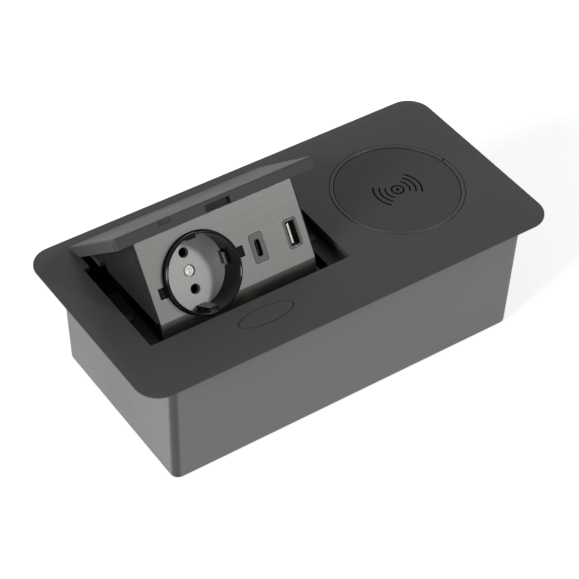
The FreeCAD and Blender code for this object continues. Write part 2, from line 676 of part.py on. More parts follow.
def housing_box():
    """The tub with its screw bosses, board posts, cable saddle and inlet."""
    tub = rounded("TubOuter", "box_length", "box_width", PLATE_LOW, "box_corner", "box_draft")
    corners = tub.Tip
    foot = tub.newObject("PartDesign::Fillet", "TubFoot")
    foot.Base = (corners, level_edges(corners.Shape, 0))
    bind(foot, "Radius", "box_edge")
    doc.recompute()
    inside = slab("TubInner", "box_length - 2 * box_wall", "box_width - 2 * box_wall",
                  f"{PLATE_LOW} - box_floor + 1", "box_corner - box_wall", z="box_floor", draft="box_draft")
    posts = []
    holes = []
    for number, (x, y) in enumerate(TUB_POSTS):
        posts.append(rod(f"Boss{number}", "head_radius + screw_fit + 1.5", "boss_top - 1", x, y, 1))
        holes.append(rod(f"BossHole{number}", "screw_radius + screw_fit", "boss_top + 2", x, y, -1))
        holes.append(rod(f"BossSink{number}", "head_radius + screw_fit", "sink_deep + 1", x, y, -1))
    for number, (x, y) in enumerate(SUPPLY_POSTS):
        posts.append(rod(f"BoardPost{number}", "post_radius", "supply_high + 0.5", x, y, "box_floor - 0.5"))
        holes.append(rod(f"BoardHole{number}", "screw_radius", "supply_high - 1", x, y, "box_floor + 1.2"))
    for number, (x, y) in enumerate(CLAMP_POSTS):
        posts.append(rod(f"ClampPost{number}", "post_radius", "inlet_high - box_floor + 0.5", x, y,
                         "box_floor - 0.5"))
        holes.append(rod(f"ClampHole{number}", "screw_radius", "screw_bite + 1.2", x, y,
                         "inlet_high - screw_bite - 1"))
    saddle = bar("Saddle", CLAMP_X, "inlet_y", "box_floor - 0.5", "clamp_long - 2", "2 * clamp_screw_off",
                 "inlet_high - box_floor + 0.5")
    channel = rod("SaddleChannel", "cable_radius", "clamp_long + 4", f"{CLAMP_X} - clamp_long / 2 - 2",
                  "inlet_y", "inlet_high", along="x")
    pad = bar("TerminalPad", "terminal_x", "inlet_y", "box_floor - 0.5", "terminal_long - 2",
              "terminal_wide - 2", "terminal_pad + 0.5")
    inlet = rod("Inlet", "inlet_radius", "2 * box_edge + 6", "box_length / 2 - box_wall - 2", "inlet_y",
                "inlet_high", along="x")
    whole = join("TubWhole", cut("TubShell", tub, inside), *posts, saddle, pad)
    finish("housing_box", cut("HousingBox", whole, inlet, channel, *holes))
    screws = [screw(f"TubScrew{number}", x, y, "sink_deep", "boss_top - sink_deep + screw_bite")
              for number, (x, y) in enumerate(TUB_POSTS)]
    finish("housing_screws", gather("HousingScrews", screws))


def well_frame():
    """The frame under the opening: ledges, front wall, back bar and hinge bearings."""
    deep = f"{PLATE_LOW} - {FRAME_LOW}"
    bearing_y = "(pivot_y - boss_radius)"
    bearing_top = f"({AXIS_Z} + boss_radius)"
    ledge_z = "body_height - ledge_drop - ledge_thick"
    ledge_long = f"{OPENING_BACK} - ledge_back - {WELL_FRONT}"
    ear_z = "(body_height - ear_drop - ledge_thick)"
    cleft_tall = f"{AXIS_Z} - boss_radius - part_gap - {FRAME_LOW}"
    pieces = [
        block("FrameLeft", "opening_left - frame_wall", WELL_FRONT, FRAME_LOW, "frame_wall",
              f"{WELL_BACK} - {WELL_FRONT}", deep),
        block("FrameRight", OPENING_RIGHT, WELL_FRONT, FRAME_LOW, "frame_wall",
              f"{WELL_BACK} - {WELL_FRONT}", deep),
        block("FrameFront", "opening_left - frame_wall", WELL_FRONT, "body_height - front_deep",
              "opening_length + 2 * frame_wall", "frame_wall", "front_deep - plate_thick"),
        block("LedgeLeft", "opening_left - 0.2", WELL_FRONT, ledge_z, "ledge_left_wide + 0.2",
              ledge_long, "ledge_thick"),
        block("LedgeRight", f"{OPENING_RIGHT} - ledge_right_wide", WELL_FRONT, ledge_z,
              "ledge_right_wide + 0.2", ledge_long, "ledge_thick"),
        block("BearingLeft", BEARING_LEFT, bearing_y, FRAME_LOW, "bearing_thick", "2 * boss_radius",
              f"{bearing_top} - {FRAME_LOW}"),
        block("BearingRight", BEARING_RIGHT, bearing_y, FRAME_LOW, "bearing_thick", "2 * boss_radius",
              f"{bearing_top} - {FRAME_LOW}"),
        block("CleftLeft", "opening_left - frame_wall", bearing_y, FRAME_LOW,
              f"{BEARING_LEFT} + bearing_thick - opening_left + frame_wall", "2 * boss_radius", cleft_tall),
        block("CleftRight", BEARING_RIGHT, bearing_y, FRAME_LOW,
              f"{OPENING_RIGHT} + frame_wall - {BEARING_RIGHT}", "2 * boss_radius", cleft_tall),
        block("BackBar", BEARING_LEFT, f"{WELL_BACK} - frame_wall", FRAME_LOW,
              f"{BEARING_RIGHT} + bearing_thick - {BEARING_LEFT}", "frame_wall",
              f"{ear_z} + ledge_thick - {FRAME_LOW}"),
    ]
    for side, x in (("Left", "opening_left - 0.2"), ("Right", f"{OPENING_RIGHT} - outer_bearing")):
        pieces.append(block("OuterBearing" + side, x, bearing_y, FRAME_LOW, "outer_bearing + 0.2",
                            "2 * boss_radius", f"{bearing_top} - {FRAME_LOW}"))
    for number, (x, y) in enumerate(FRONT_EARS):
        pieces.append(block(f"FrontEar{number}", f"{x} - ear_half", f"{y} - ear_half", ear_z,
                            "2 * ear_half", "ear_off + ear_half + 0.4", "ledge_thick"))
    for number, (x, y) in enumerate(BACK_EARS):
        pieces.append(block(f"BackEar{number}", f"{x} - ear_half", f"{y} - ear_half", ear_z,
                            "2 * ear_half", "ear_back_off + ear_half", "ledge_thick"))
    pieces.append(bar("DamperBracket", f"(({DAMPER_BACK}) + {OPENING_RIGHT} + 0.2) / 2", DAMPER_Y,
                      f"{DAMPER_Z} - damper_radius + 0.3", f"{OPENING_RIGHT} + 0.2 - ({DAMPER_BACK})",
                      "2 * damper_radius - 2", "2 * damper_radius - 1"))
    holes = [
        rod("FramePins", "pin_radius", "opening_length + 6", "opening_left - 3", "pivot_y", AXIS_Z, along="x"),
        rod("DamperSeat", "axle_radius + 0.8", 20, DAMPER_BACK, DAMPER_Y, DAMPER_Z, along="x"),
        block("LatchWindow", f"{LATCH_LEFT} - part_gap", f"{WELL_FRONT} - 1",
              "body_height - guide_drop", "latch_wide + 2 * part_gap", "frame_wall + 2",
              "guide_drop - plate_thick + 1")]
    corner_x = "(opening_left - frame_wall)"
    holes.append(prism("CornerCut", "XY_Plane", [
        (f"{corner_x} - 1", f"{WELL_BACK} - corner_cut - 1"), (f"{corner_x} + corner_cut + 1", f"{WELL_BACK} + 1"),
        (f"{corner_x} - 1", f"{WELL_BACK} + 1")], "frame_deep + 2", z=f"{FRAME_LOW} - 1"))
    for number, (x, y) in enumerate(FRONT_EARS + BACK_EARS):
        holes.append(rod(f"EarHole{number}", "screw_radius + screw_fit", 6, x, y, f"{ear_z} - 2"))
    for side, x in BUMPERS:
        holes.append(rod("BumperHole" + side, "bumper_radius - 0.8", 4, x, 0, f"{ledge_z} - 1"))
    finish("well_frame", cut("WellFrame", join("FrameWhole", *pieces), *holes))
    screws = [screw(f"FrameScrew{number}", x, y, ear_z, "ledge_thick + ear_drop - plate_thick - 1")
              for number, (x, y) in enumerate(FRONT_EARS + BACK_EARS)]
    finish("frame_screws", gather("FrameScrews", screws))
    for side, x in BUMPERS:
        pad = rod("BumperPad" + side, "bumper_radius", "bumper_proud", x, 0, f"{ledge_z} + ledge_thick")
        stem = rod("BumperStem" + side, "bumper_radius - 0.8", "ledge_thick + 1", x, 0, f"{ledge_z} - 0.8")
        tip = rod("BumperTip" + side, "bumper_radius - 0.3", 0.8, x, 0, f"{ledge_z} - 0.8")
        finish("lid_bumper_" + side, join("Bumper" + side, pad, stem, tip))


def hinge_hardware():
    """The two hinge pins and the torsion springs that push the cassette open."""
    for side, start, end in (("left", "opening_left - frame_wall / 3", f"{BEARING_LEFT} + bearing_thick"),
                             ("right", BEARING_RIGHT, f"{OPENING_RIGHT} + frame_wall / 3")):
        finish("hinge_pin_" + side, rod("HingePin" + side, "pin_radius", f"{end} - ({start})", start,
                                        "pivot_y", AXIS_Z, along="x"))
    start = f"({OUTER_BEARING_LEFT} + spring_play)"
    room = f"({ARM_LEFT} - {OUTER_BEARING_LEFT} - 2 * spring_play)"
    turns = coil("SpringTurns", "spring_turn", "spring_wire", "spring_turns", room, start, "pivot_y", AXIS_Z,
                 along="x")
    frame_leg = rod("FrameLeg", "spring_wire / 2", "spring_leg", f"{start} + spring_wire / 2",
                    "pivot_y - spring_leg", f"{AXIS_Z} - spring_turn", along="y")
    arm_leg = rod("ArmLeg", "spring_wire / 2", "spring_leg", f"{start} + {room} - spring_wire / 2",
                  "pivot_y + spring_turn", AXIS_Z)
    left = finish("torsion_spring_left", gather("TorsionSpring", [turns, frame_leg, arm_leg]))
    right = doc.addObject("Part::Mirroring", "TorsionSpringRight")
    right.Source = left
    right.Normal = FreeCAD.Vector(1, 0, 0)
    bind(right, "Base.x", "opening_left + opening_length / 2")
    finish("torsion_spring_right", right)


def lid():
    """The lid: a shallow tray with a slot for the latch and side skirts cut back at the hinge."""
    left = "(opening_left + lid_gap)"
    across = "(opening_length - 2 * lid_gap)"
    profile = [(LID_FRONT, LID_LOW), (f"{LID_BACK} - skirt_short", LID_LOW),
               (f"{LID_BACK} - heel_run", "body_height - heel_tall"),
               (LID_BACK, "body_height - 0.15"), (LID_BACK, "body_height"), (LID_FRONT, "body_height")]
    body = side_prism("LidSolid", profile, across, x=left)
    doc.recompute()
    pad = body.Tip
    box = pad.Shape.BoundBox
    edges = []
    for number, edge in enumerate(pad.Shape.Edges, start=1):
        middle = edge.BoundBox
        on_top = abs(middle.ZMin - box.ZMax) < 1e-4
        on_back = abs(middle.YMin - box.YMax) < 1e-4
        front_corner = middle.ZLength > 1 and abs(middle.YMax - box.YMin) < 1e-4
        if (on_top and not on_back) or front_corner:
            edges.append(f"Edge{number}")
    soft = body.newObject("PartDesign::Fillet", "LidEdges")
    soft.Base = (pad, edges)
    bind(soft, "Radius", "lid_edge")
    cuts = [
        block("LidHollow", f"{left} + lid_wall", f"{LID_FRONT} + lid_wall", f"{LID_LOW} - 1",
              f"{across} - 2 * lid_wall", "opening_depth", "lid_tall - lid_sheet + 1"),
        block("LidSlot", "button_x - slot_long / 2", f"{LID_FRONT} - 1", f"{LID_LOW} + slot_low",
              "slot_long", "lid_wall + 2", "slot_tall"),
        bar("LidPit", "pit_x", LID_FRONT, "body_height - pit_tall", "pit_long", "2 * pit_deep", "pit_tall + 1"),
        block("LidSlitLeft", f"{left} - 1", f"{LID_FRONT} + lid_wall + 0.4", f"{LID_LOW} - 1",
              "lid_wall + 1.5", "slit_wide", "slit_tall + 1"),
        block("LidSlitRight", f"{left} + {across} - lid_wall - 0.5", f"{LID_FRONT} + lid_wall + 0.4",
              f"{LID_LOW} - 1", "lid_wall + 1.5", "slit_wide", "slit_tall + 1")]
    for number, (x, y) in enumerate(LID_SCREWS):
        cuts.append(rod(f"LidHole{number}", "small_screw", "lid_sheet - 0.4", x, y, f"{LID_UNDER} - 0.2"))
    finish("lid", swing_open(cut("Lid", body, *cuts)))
    seat = f"{LID_UNDER} - shell_wall"
    screws = []
    for number, (x, y) in enumerate(LID_SCREWS):
        head = rod(f"LidScrewHead{number}", "small_head", "small_head_tall", x, y, f"{seat} - small_head_tall")
        shank = rod(f"LidScrewShank{number}", "small_screw", "shell_wall + lid_sheet - 0.6", x, y,
                    f"{seat} - 0.2")
        screws.append(join(f"LidScrew{number}", head, shank))
    finish("cassette_screws", swing_open(gather("CassetteScrews", screws)))


SOCKET_BACK = "(recess_deep - collar_proud + floor_thick + base_deep)"
CUP_RADIUS = "(recess_radius + base_step + insert_wall)"
FLANGE_RADIUS = f"({CUP_RADIUS} + insert_flange)"
BOARD_DEPTH = "(port_set_back + port_deep)"
NOTCHES = [("Left", -1), ("Right", 1)]
PORTS = [("c", "port_c_x", "port_c_wide", "port_c_tall", "port_c_corner"),
         ("a", "port_a_x", "port_a_wide", "port_a_tall", "port_a_corner")]
BOARD_POSTS = [("(port_c_x + port_a_x) / 2", f"-ports_drop + {up}") for up in (-4, 11)]


def notch_places(side):
    """Left edge and centre height of a snap notch on the panel."""
    x = "socket_x - collar_radius - notch_long" if side < 0 else "socket_x + collar_radius - 2"
    return x, f"-ports_drop + {side} * notch_shift"


def cassette_shell():
    """The cassette's moulded shell with cheeks, bridge, sole, arms and hinge bosses."""
    toe_y, toe_z = on_panel("rim_back", "-panel_tall + toe_rise")
    front_y = f"({LID_FRONT} + lid_wall + rim_back - panel_sheet)"
    heel_z = "(body_height - shell_heel)"
    cheek = [(front_y, LID_UNDER), (toe_y, toe_z), (SHELL_BACK, heel_z), (SHELL_BACK, LID_UNDER)]
    sole = [(toe_y, toe_z), (SHELL_BACK, heel_z), (SHELL_BACK, f"{heel_z} + shell_wall * 1.3"),
            (f"{toe_y} + 0.6", f"{toe_z} + shell_wall * 1.3")]
    arm = [(f"{OPENING_BACK} - arm_root", LID_UNDER), (f"{OPENING_BACK} - arm_root + arm_root_wide", LID_UNDER),
           ("pivot_y + boss_radius * 0.72", f"{AXIS_Z} + boss_radius * 0.69"),
           ("pivot_y - boss_radius * 0.72", f"{AXIS_Z} - boss_radius * 0.69")]
    wide = f"({CHEEK_RIGHT} - {CHEEK_LEFT})"
    bridge_z = f"{LID_UNDER} - shell_wall"
    pieces = [
        side_prism("CheekLeft", cheek, "shell_wall", x=CHEEK_LEFT),
        side_prism("CheekRight", cheek, "shell_wall", x=f"{CHEEK_RIGHT} - shell_wall"),
        side_prism("Sole", sole, wide, x=CHEEK_LEFT),
        block("Bridge", CHEEK_LEFT, front_y, bridge_z, wide, f"{SHELL_BACK} - {front_y}", "shell_wall"),
        block("BridgeTail", ARM_LEFT, f"{SHELL_BACK} - 1", bridge_z, f"{ARM_RIGHT} + arm_thick - {ARM_LEFT}",
              f"{OPENING_BACK} - bridge_short + 1 - {SHELL_BACK}", "shell_wall"),
        block("BackWall", CHEEK_LEFT, f"{SHELL_BACK} - shell_wall", heel_z, wide, "shell_wall",
              "shell_heel - lid_sheet"),
        on_closed("FrontWall", block("FrontWallBlock", f"{CHEEK_LEFT} + 0.4", "panel_sheet", "-panel_tall + 0.4",
                                     f"{wide} - 0.8", "rim_back - panel_sheet + 0.4",
                                     "panel_tall + bridge_rise - 0.4"))]
    for side, x in (("Left", ARM_LEFT), ("Right", ARM_RIGHT)):
        pieces.append(side_prism("Arm" + side, arm, "arm_thick", x=x))
        pieces.append(rod("ArmBoss" + side, "boss_radius", "arm_thick", x, "pivot_y", AXIS_Z, along="x"))
    posts = [rod(f"UsbPost{number}", "small_head + 0.4", f"{BOARD_DEPTH} - rim_back", x, "rim_back", z, along="y")
             for number, (x, z) in enumerate(BOARD_POSTS)]
    pieces.append(on_closed("UsbPosts", *posts))
    holes = [rod("ArmHoles", "pin_radius + pin_fit", "opening_length", "opening_left", "pivot_y", AXIS_Z,
                 along="x")]
    for number, (x, y) in enumerate(LID_SCREWS):
        holes.append(rod(f"BridgeHole{number}", "small_screw + 0.1", "shell_wall + 2", x, y, f"{bridge_z} - 1"))
    for number, (y, z) in enumerate(SECTOR_SCREWS):
        holes.append(rod(f"SectorHole{number}", "small_screw", "shell_wall + 2", f"{CHEEK_RIGHT} - shell_wall - 1",
                         y, z, along="x"))
    panel_holes = [
        rod("ShellCollar", "collar_radius + part_gap", "rim_back + 0.5", "socket_x", 0, "-ports_drop", along="y"),
        rod("ShellCup", f"{FLANGE_RADIUS} + 2 * part_gap", f"{SOCKET_BACK} + cover_thick + 6 - rim_back",
            "socket_x", "rim_back", "-ports_drop", along="y")]
    for label, x, port_wide, port_tall, corner in PORTS:
        panel_holes.append(block("ShellPort" + label, f"{x} - bezel_wide / 2 - bezel_gap", 0,
                                 "-ports_drop - bezel_tall / 2 - bezel_gap", "bezel_wide + 2 * bezel_gap",
                                 "rim_back + 0.5", "bezel_tall + 2 * bezel_gap"))
    for number, (x, z) in enumerate(BOARD_POSTS):
        panel_holes.append(rod(f"UsbHole{number}", "small_screw", 6, x, f"{BOARD_DEPTH} - 5.8", z, along="y"))
    for label, side in NOTCHES:
        x, middle = notch_places(side)
        panel_holes.append(block("ShellNotch" + label, x, 0, f"{middle} - notch_tall / 2", "notch_long + 2",
                                 "rim_back + 0.5", "notch_tall"))
    shell = cut("CassetteShell", join("ShellWhole", *pieces), on_closed("PanelHoles", *panel_holes), *holes)
    finish("cassette_shell", swing_open(shell))


def face_panel():
    """The brushed panel: a flat sheet and a foot curved about the hinge axis."""
    flat = on_closed("PanelFlat", block("PanelSheet", "panel_left", 0, "-panel_tall", "panel_width",
                                        "panel_sheet", "panel_tall - 0.1"))
    bend_y, bend_z = on_panel("0", "-panel_tall")
    reach = f"sqrt(({bend_y} - pivot_y)^2 + ({bend_z} - {AXIS_Z})^2)"
    outer = rod("FootOuter", reach, "panel_width", "panel_left", 0, 0, along="x")
    bind(outer, "Angle", "foot_angle")
    inner = rod("FootInner", f"{reach} - panel_sheet", "panel_width + 2", "panel_left - 1", 0, 0, along="x")
    foot = cut("PanelFoot", outer, inner)
    foot.Placement = FreeCAD.Placement(FreeCAD.Vector(), FreeCAD.Rotation(FreeCAD.Vector(1, 0, 0), -1))
    turn_about_x(foot, f"-1 * atan((pivot_y - {bend_y}) / ({AXIS_Z} - {bend_z})) / 1deg")
    bind(foot, "Placement.Base.y", "pivot_y")
    bind(foot, "Placement.Base.z", AXIS_Z)
    holes = [rod("PanelCollar", "collar_radius + collar_gap", 12, "socket_x", -4, "-ports_drop", along="y")]
    for label, side in NOTCHES:
        x, middle = notch_places(side)
        holes.append(block("PanelNotch" + label, x, -1, f"{middle} - notch_tall / 2", "notch_long + 2", 4,
                           "notch_tall"))
    for label, x, port_wide, port_tall, corner in PORTS:
        holes.append(slab("PanelPort" + label, "bezel_wide + 2 * bezel_gap", "bezel_tall + 2 * bezel_gap", 4,
                          "bezel_corner + bezel_gap", x, -1, "-ports_drop", along="y"))
    panel = cut("FacePanel", join("PanelWhole", flat, foot), on_closed("PanelCuts", *holes))
    finish("face_panel", swing_open(panel))


def socket_parts():
    """The earthed socket: insert with its collar, base, contacts, earth clip, screw and back cover."""
    centre = ("socket_x", "-ports_drop")
    floor = "(recess_deep - collar_proud)"
    front = "(-collar_proud)"
    profile = [("recess_radius", f"{front} + 0.4"), ("recess_radius + 0.4", front), ("collar_radius - 0.5", front),
               ("collar_radius", f"{front} + 0.5"), ("collar_radius", "rim_back"), (FLANGE_RADIUS, "rim_back"),
               (FLANGE_RADIUS, "rim_back + flange_thick"), (CUP_RADIUS, "rim_back + flange_thick"),
               (CUP_RADIUS, SOCKET_BACK), ("recess_radius + base_step", SOCKET_BACK),
               ("recess_radius + base_step", floor), ("recess_radius", floor)]
    sleeve = turned("InsertSleeve", profile, centre[0], 0, centre[1], along="y")
    additions = [sleeve]
    for label, up in (("Top", 1), ("Bottom", -1)):
        additions.append(block("Key" + label, "socket_x - key_wide / 2", f"{front} + 2.5",
                               f"-ports_drop + {up} * (recess_radius - key_proud / 2 + 0.2) - key_proud / 2 - 0.2",
                               "key_wide", f"{floor} - {front} - 2.5", "key_proud + 0.4"))
    for label, side in NOTCHES:
        x, middle = notch_places(side)
        tab_x = f"{x} + 0.4" if side < 0 else f"{x} + 1"
        additions.append(block("Tab" + label, tab_x, "0.5", f"{middle} - notch_tall / 2 + 0.4",
                               "notch_long + 0.6", "rim_back + 0.5", "notch_tall - 0.8"))
    finish("socket_insert", swing_panel(join("SocketInsert", *additions)))

    disc = rod("BaseDisc", "recess_radius + base_step - 0.1", "floor_thick", centre[0], floor, centre[1], along="y")
    body = rod("BaseBody", "recess_radius - 1.7", "floor_thick + base_deep", centre[0], floor, centre[1], along="y")
    holes = []
    for label, up in (("Live", 1), ("Neutral", -1)):
        z = f"-ports_drop + {up} * pin_pitch / 2"
        holes.append(rod("PinHole" + label, "pin_hole", "floor_thick + 2", "socket_x", f"{floor} - 1", z, along="y"))
        holes.append(rod("PinPocket" + label, "contact_radius + 0.05", "base_deep + 1", "socket_x",
                         f"{floor} + floor_thick", z, along="y"))
    holes.append(rod("CentreSink", "small_head + 0.95", "small_head_tall + 1.2", "socket_x", f"{floor} - 1",
                     "-ports_drop", along="y"))
    holes.append(rod("CentreHole", "screw_radius + screw_fit", "floor_thick + base_deep + 2", "socket_x",
                     f"{floor} - 1", "-ports_drop", along="y"))
    clip_x = "(recess_radius - 0.7)"
    for label, side in NOTCHES:
        holes.append(bar("ClipSlot" + label, f"socket_x + {side} * ({clip_x} - clip_thick + 1.4)",
                         f"{floor} + floor_thick / 2", "-ports_drop - clip_wide / 2 - 0.15",
                         3.2, "floor_thick + 1", "clip_wide + 0.3"))
    finish("socket_base", swing_panel(cut("SocketBase", join("BaseWhole", disc, body), *holes)))

    for label, up in (("live", 1), ("neutral", -1)):
        z = f"-ports_drop + {up} * pin_pitch / 2"
        sleeve = rod("Sleeve" + label, "contact_radius", "contact_long", "socket_x", f"{floor} + floor_thick", z,
                     along="y")
        bore = rod("SleeveBore" + label, "contact_bore", "contact_long - 1.5 + 1", "socket_x",
                   f"{floor} + floor_thick - 1", z, along="y")
        gap = block("SleeveGap" + label, "socket_x - 0.4", f"{floor} + floor_thick - 1", f"{z} - contact_radius - 1",
                    0.8, "contact_long - 2", "2 * contact_radius + 2")
        finish(label + "_contact", swing_panel(cut("Contact" + label, sleeve, bore, gap)))

    tip = f"({floor} - clip_reach)"
    strip = bar("ClipStrip", "socket_x", f"{SOCKET_BACK} + clip_thick / 2", "-ports_drop - clip_wide / 2",
                f"2 * {clip_x}", "clip_thick", "clip_wide")
    uprights = [strip]
    for label, side in NOTCHES:
        x = f"socket_x + {side} * ({clip_x} - clip_thick / 2)"
        uprights.append(bar("ClipSide" + label, x, f"({tip} + {SOCKET_BACK} + clip_thick) / 2",
                            "-ports_drop - clip_wide / 2", "clip_thick",
                            f"{SOCKET_BACK} + clip_thick - {tip}", "clip_wide"))
        uprights.append(rod("ClipNose" + label, "clip_nose", "clip_wide", f"socket_x + {side} * ({clip_x} - clip_thick)",
                            f"{tip} + 2 * clip_nose", "-ports_drop - clip_wide / 2"))
    clip_hole = rod("ClipHole", "screw_radius + screw_fit", 4, "socket_x", f"{SOCKET_BACK} - 1", "-ports_drop",
                    along="y")
    finish("earth_clip", swing_panel(cut("EarthClip", join("ClipWhole", *uprights), clip_hole)))

    cover_at = f"({SOCKET_BACK} + clip_thick)"
    cover = rod("CoverDisc", "recess_radius + base_step + insert_wall", "cover_thick", "socket_x", cover_at,
                "-ports_drop", along="y")
    lugs = [rod("CoverBoss", "screw_radius + 1.6", "cover_thick + 2.4", "socket_x", cover_at, "-ports_drop",
                along="y")]
    for label, up in (("Top", 1), ("Bottom", -1)):
        lugs.append(block("CoverLug" + label, "socket_x - 5", f"{SOCKET_BACK}",
                          f"-ports_drop + {up} * (recess_radius - 4.2) - 1.5", 10, "clip_thick + 0.2", 3))
    cover_holes = [rod("CoverScrew", "screw_radius", 12, "socket_x", f"{cover_at} - 2", "-ports_drop", along="y")]
    for label, side in NOTCHES:
        cover_holes.append(rod("LeadHole" + label, 2, 6, f"socket_x + {side} * 8", f"{cover_at} - 2",
                               "-ports_drop - 9", along="y"))
    finish("socket_back_cover", swing_panel(cut("SocketCover", join("CoverWhole", cover, *lugs), *cover_holes)))

    head = rod("CentreHead", "small_head + 0.15", "small_head_tall - 0.1", "socket_x", f"{floor} + 0.3",
               "-ports_drop", along="y")
    shank = rod("CentreShank", "screw_radius", f"{cover_at} + cover_thick + 1.6 - {floor} - 0.6", "socket_x",
                f"{floor} + 0.6", "-ports_drop", along="y")
    cross = [block("CentreCrossA", "socket_x - small_head * 0.7", f"{floor} - 0.3", "-ports_drop - drive_wide / 2",
                   "small_head * 1.4", 1.2, "drive_wide"),
             block("CentreCrossB", "socket_x - drive_wide / 2", f"{floor} - 0.3", "-ports_drop - small_head * 0.7",
                   "drive_wide", 1.2, "small_head * 1.4")]
    finish("centre_screw", swing_panel(cut("CentreScrew", join("CentreSolid", head, shank), *cross)))


def port_parts():
    """The two charging ports with their bezels, the tongue and the board behind them."""
    for label, x, wide, tall, corner in PORTS:
        frame = slab(f"Bezel{label}", "bezel_wide", "bezel_tall", "bezel_deep + bezel_proud", "bezel_corner",
                     x, "-bezel_proud", "-ports_drop", along="y")
        hole = slab(f"BezelHole{label}", f"{wide} + 0.1", f"{tall} + 0.1", "bezel_deep + 3", corner,
                    x, "-bezel_proud - 1", "-ports_drop", along="y")
        finish(f"usb_{label}_bezel", swing_panel(cut(f"Usb{label}Bezel", frame, hole)))
        shell = slab(f"Port{label}Outer", wide, tall, "port_deep", corner, x, "port_set_back", "-ports_drop",
                     along="y")
        room = slab(f"Port{label}Inner", f"{wide} - 2 * port_sheet", f"{tall} - 2 * port_sheet", "port_deep",
                    f"{corner} - port_sheet", x, "port_set_back - 1", "-ports_drop", along="y")
        port = cut(f"Port{label}Shell", shell, room)
        if label == "c":
            blade = block("PortBlade", f"{x} - port_sheet", "port_set_back + 1", "-ports_drop - port_c_tall * 0.38",
                          "2 * port_sheet", "port_deep - 1.5", "port_c_tall * 0.76")
            port = join("PortCWhole", port, blade)
        finish(f"usb_{label}_port", swing_panel(port))
    tongue = block("TongueBlock", "port_a_x - port_a_wide / 2 + port_sheet + 0.6", "port_set_back + 0.8",
                   "-ports_drop - tongue_tall / 2", "tongue_thick", "port_deep - 1.8", "tongue_tall")
    finish("usb_a_tongue", swing_panel(gather("UsbATongue", [tongue])))
    board = bar("UsbBoardSheet", "(port_c_x + port_a_x) / 2", f"{BOARD_DEPTH} + board_thick / 2",
                "-ports_drop - 6.6", "usb_board_wide", "board_thick", "usb_board_tall")
    chips = [bar(f"UsbChip{number}", f"(port_c_x + port_a_x) / 2 + {off}", f"{BOARD_DEPTH} + board_thick + 1",
                 "-ports_drop + 5", wide, 2.4, 7) for number, (off, wide) in enumerate(((-9, 9), (9, 6)))]
    holes = [rod(f"UsbBoardHole{number}", "small_screw + 0.1", 6, x, f"{BOARD_DEPTH} - 2", z, along="y")
             for number, (x, z) in enumerate(BOARD_POSTS)]
    finish("usb_board", swing_panel(cut("UsbBoard", join("UsbBoardWhole", board, *chips), *holes)))
    screws = []
    for number, (x, z) in enumerate(BOARD_POSTS):
        head = rod(f"UsbHead{number}", "small_head", "small_head_tall", x, f"{BOARD_DEPTH} + board_thick", z,
                   along="y")
        shank = rod(f"UsbShank{number}", "small_screw", "board_thick + 5.2", x, f"{BOARD_DEPTH} - 5", z, along="y")
        screws.append(join(f"UsbScrew{number}", head, shank))
    finish("usb_board_screws", swing_panel(gather("UsbBoardScrews", screws)))


SECTOR_PITCH = "(gear_module * sector_teeth / 2)"
PINION_PITCH = "(gear_module * pinion_teeth / 2)"
GEAR_LEFT = f"({CHEEK_RIGHT} + gear_clear)"
DAMPER_Y = f"(pivot_y + ({SECTOR_PITCH} - {PINION_PITCH}) * cos(damper_direction * 1deg))"
DAMPER_Z = f"({AXIS_Z} + ({SECTOR_PITCH} - {PINION_PITCH}) * sin(damper_direction * 1deg))"
DAMPER_LEFT = f"({GEAR_LEFT} + gear_wide + damper_gap)"
DAMPER_BACK = f"({DAMPER_LEFT} + damper_long)"
SECTOR_SCREWS = [(f"{SHELL_BACK} - 6", f"body_height - {drop}") for drop in (8.5, 13.5)]


def tooth(radius, direction, inward, wide):
    """One straight-sided tooth on a pitch circle about X, pointing at or away from the axis."""
    pitch = math.pi * size("gear_module")
    tip = radius - size("tooth_up") if inward else radius + size("tooth_up")
    root = radius + size("tooth_down") + 0.3 if inward else radius - size("tooth_down") - 0.3
    half_tip = pitch * size("tooth_tip_share") / 2
    half_root = pitch * (2 * size("tooth_share") - size("tooth_tip_share")) / 2
    corners = [(tip, -half_tip), (tip, half_tip), (root, half_root), (root, -half_root), (tip, -half_tip)]
    angle = math.radians(direction)
    points = [FreeCAD.Vector(0, out * math.cos(angle) - side * math.sin(angle),
                             out * math.sin(angle) + side * math.cos(angle)) for out, side in corners]
    face = Part.Face(Part.makePolygon(points))
    return face.extrude(FreeCAD.Vector(wide, 0, 0))


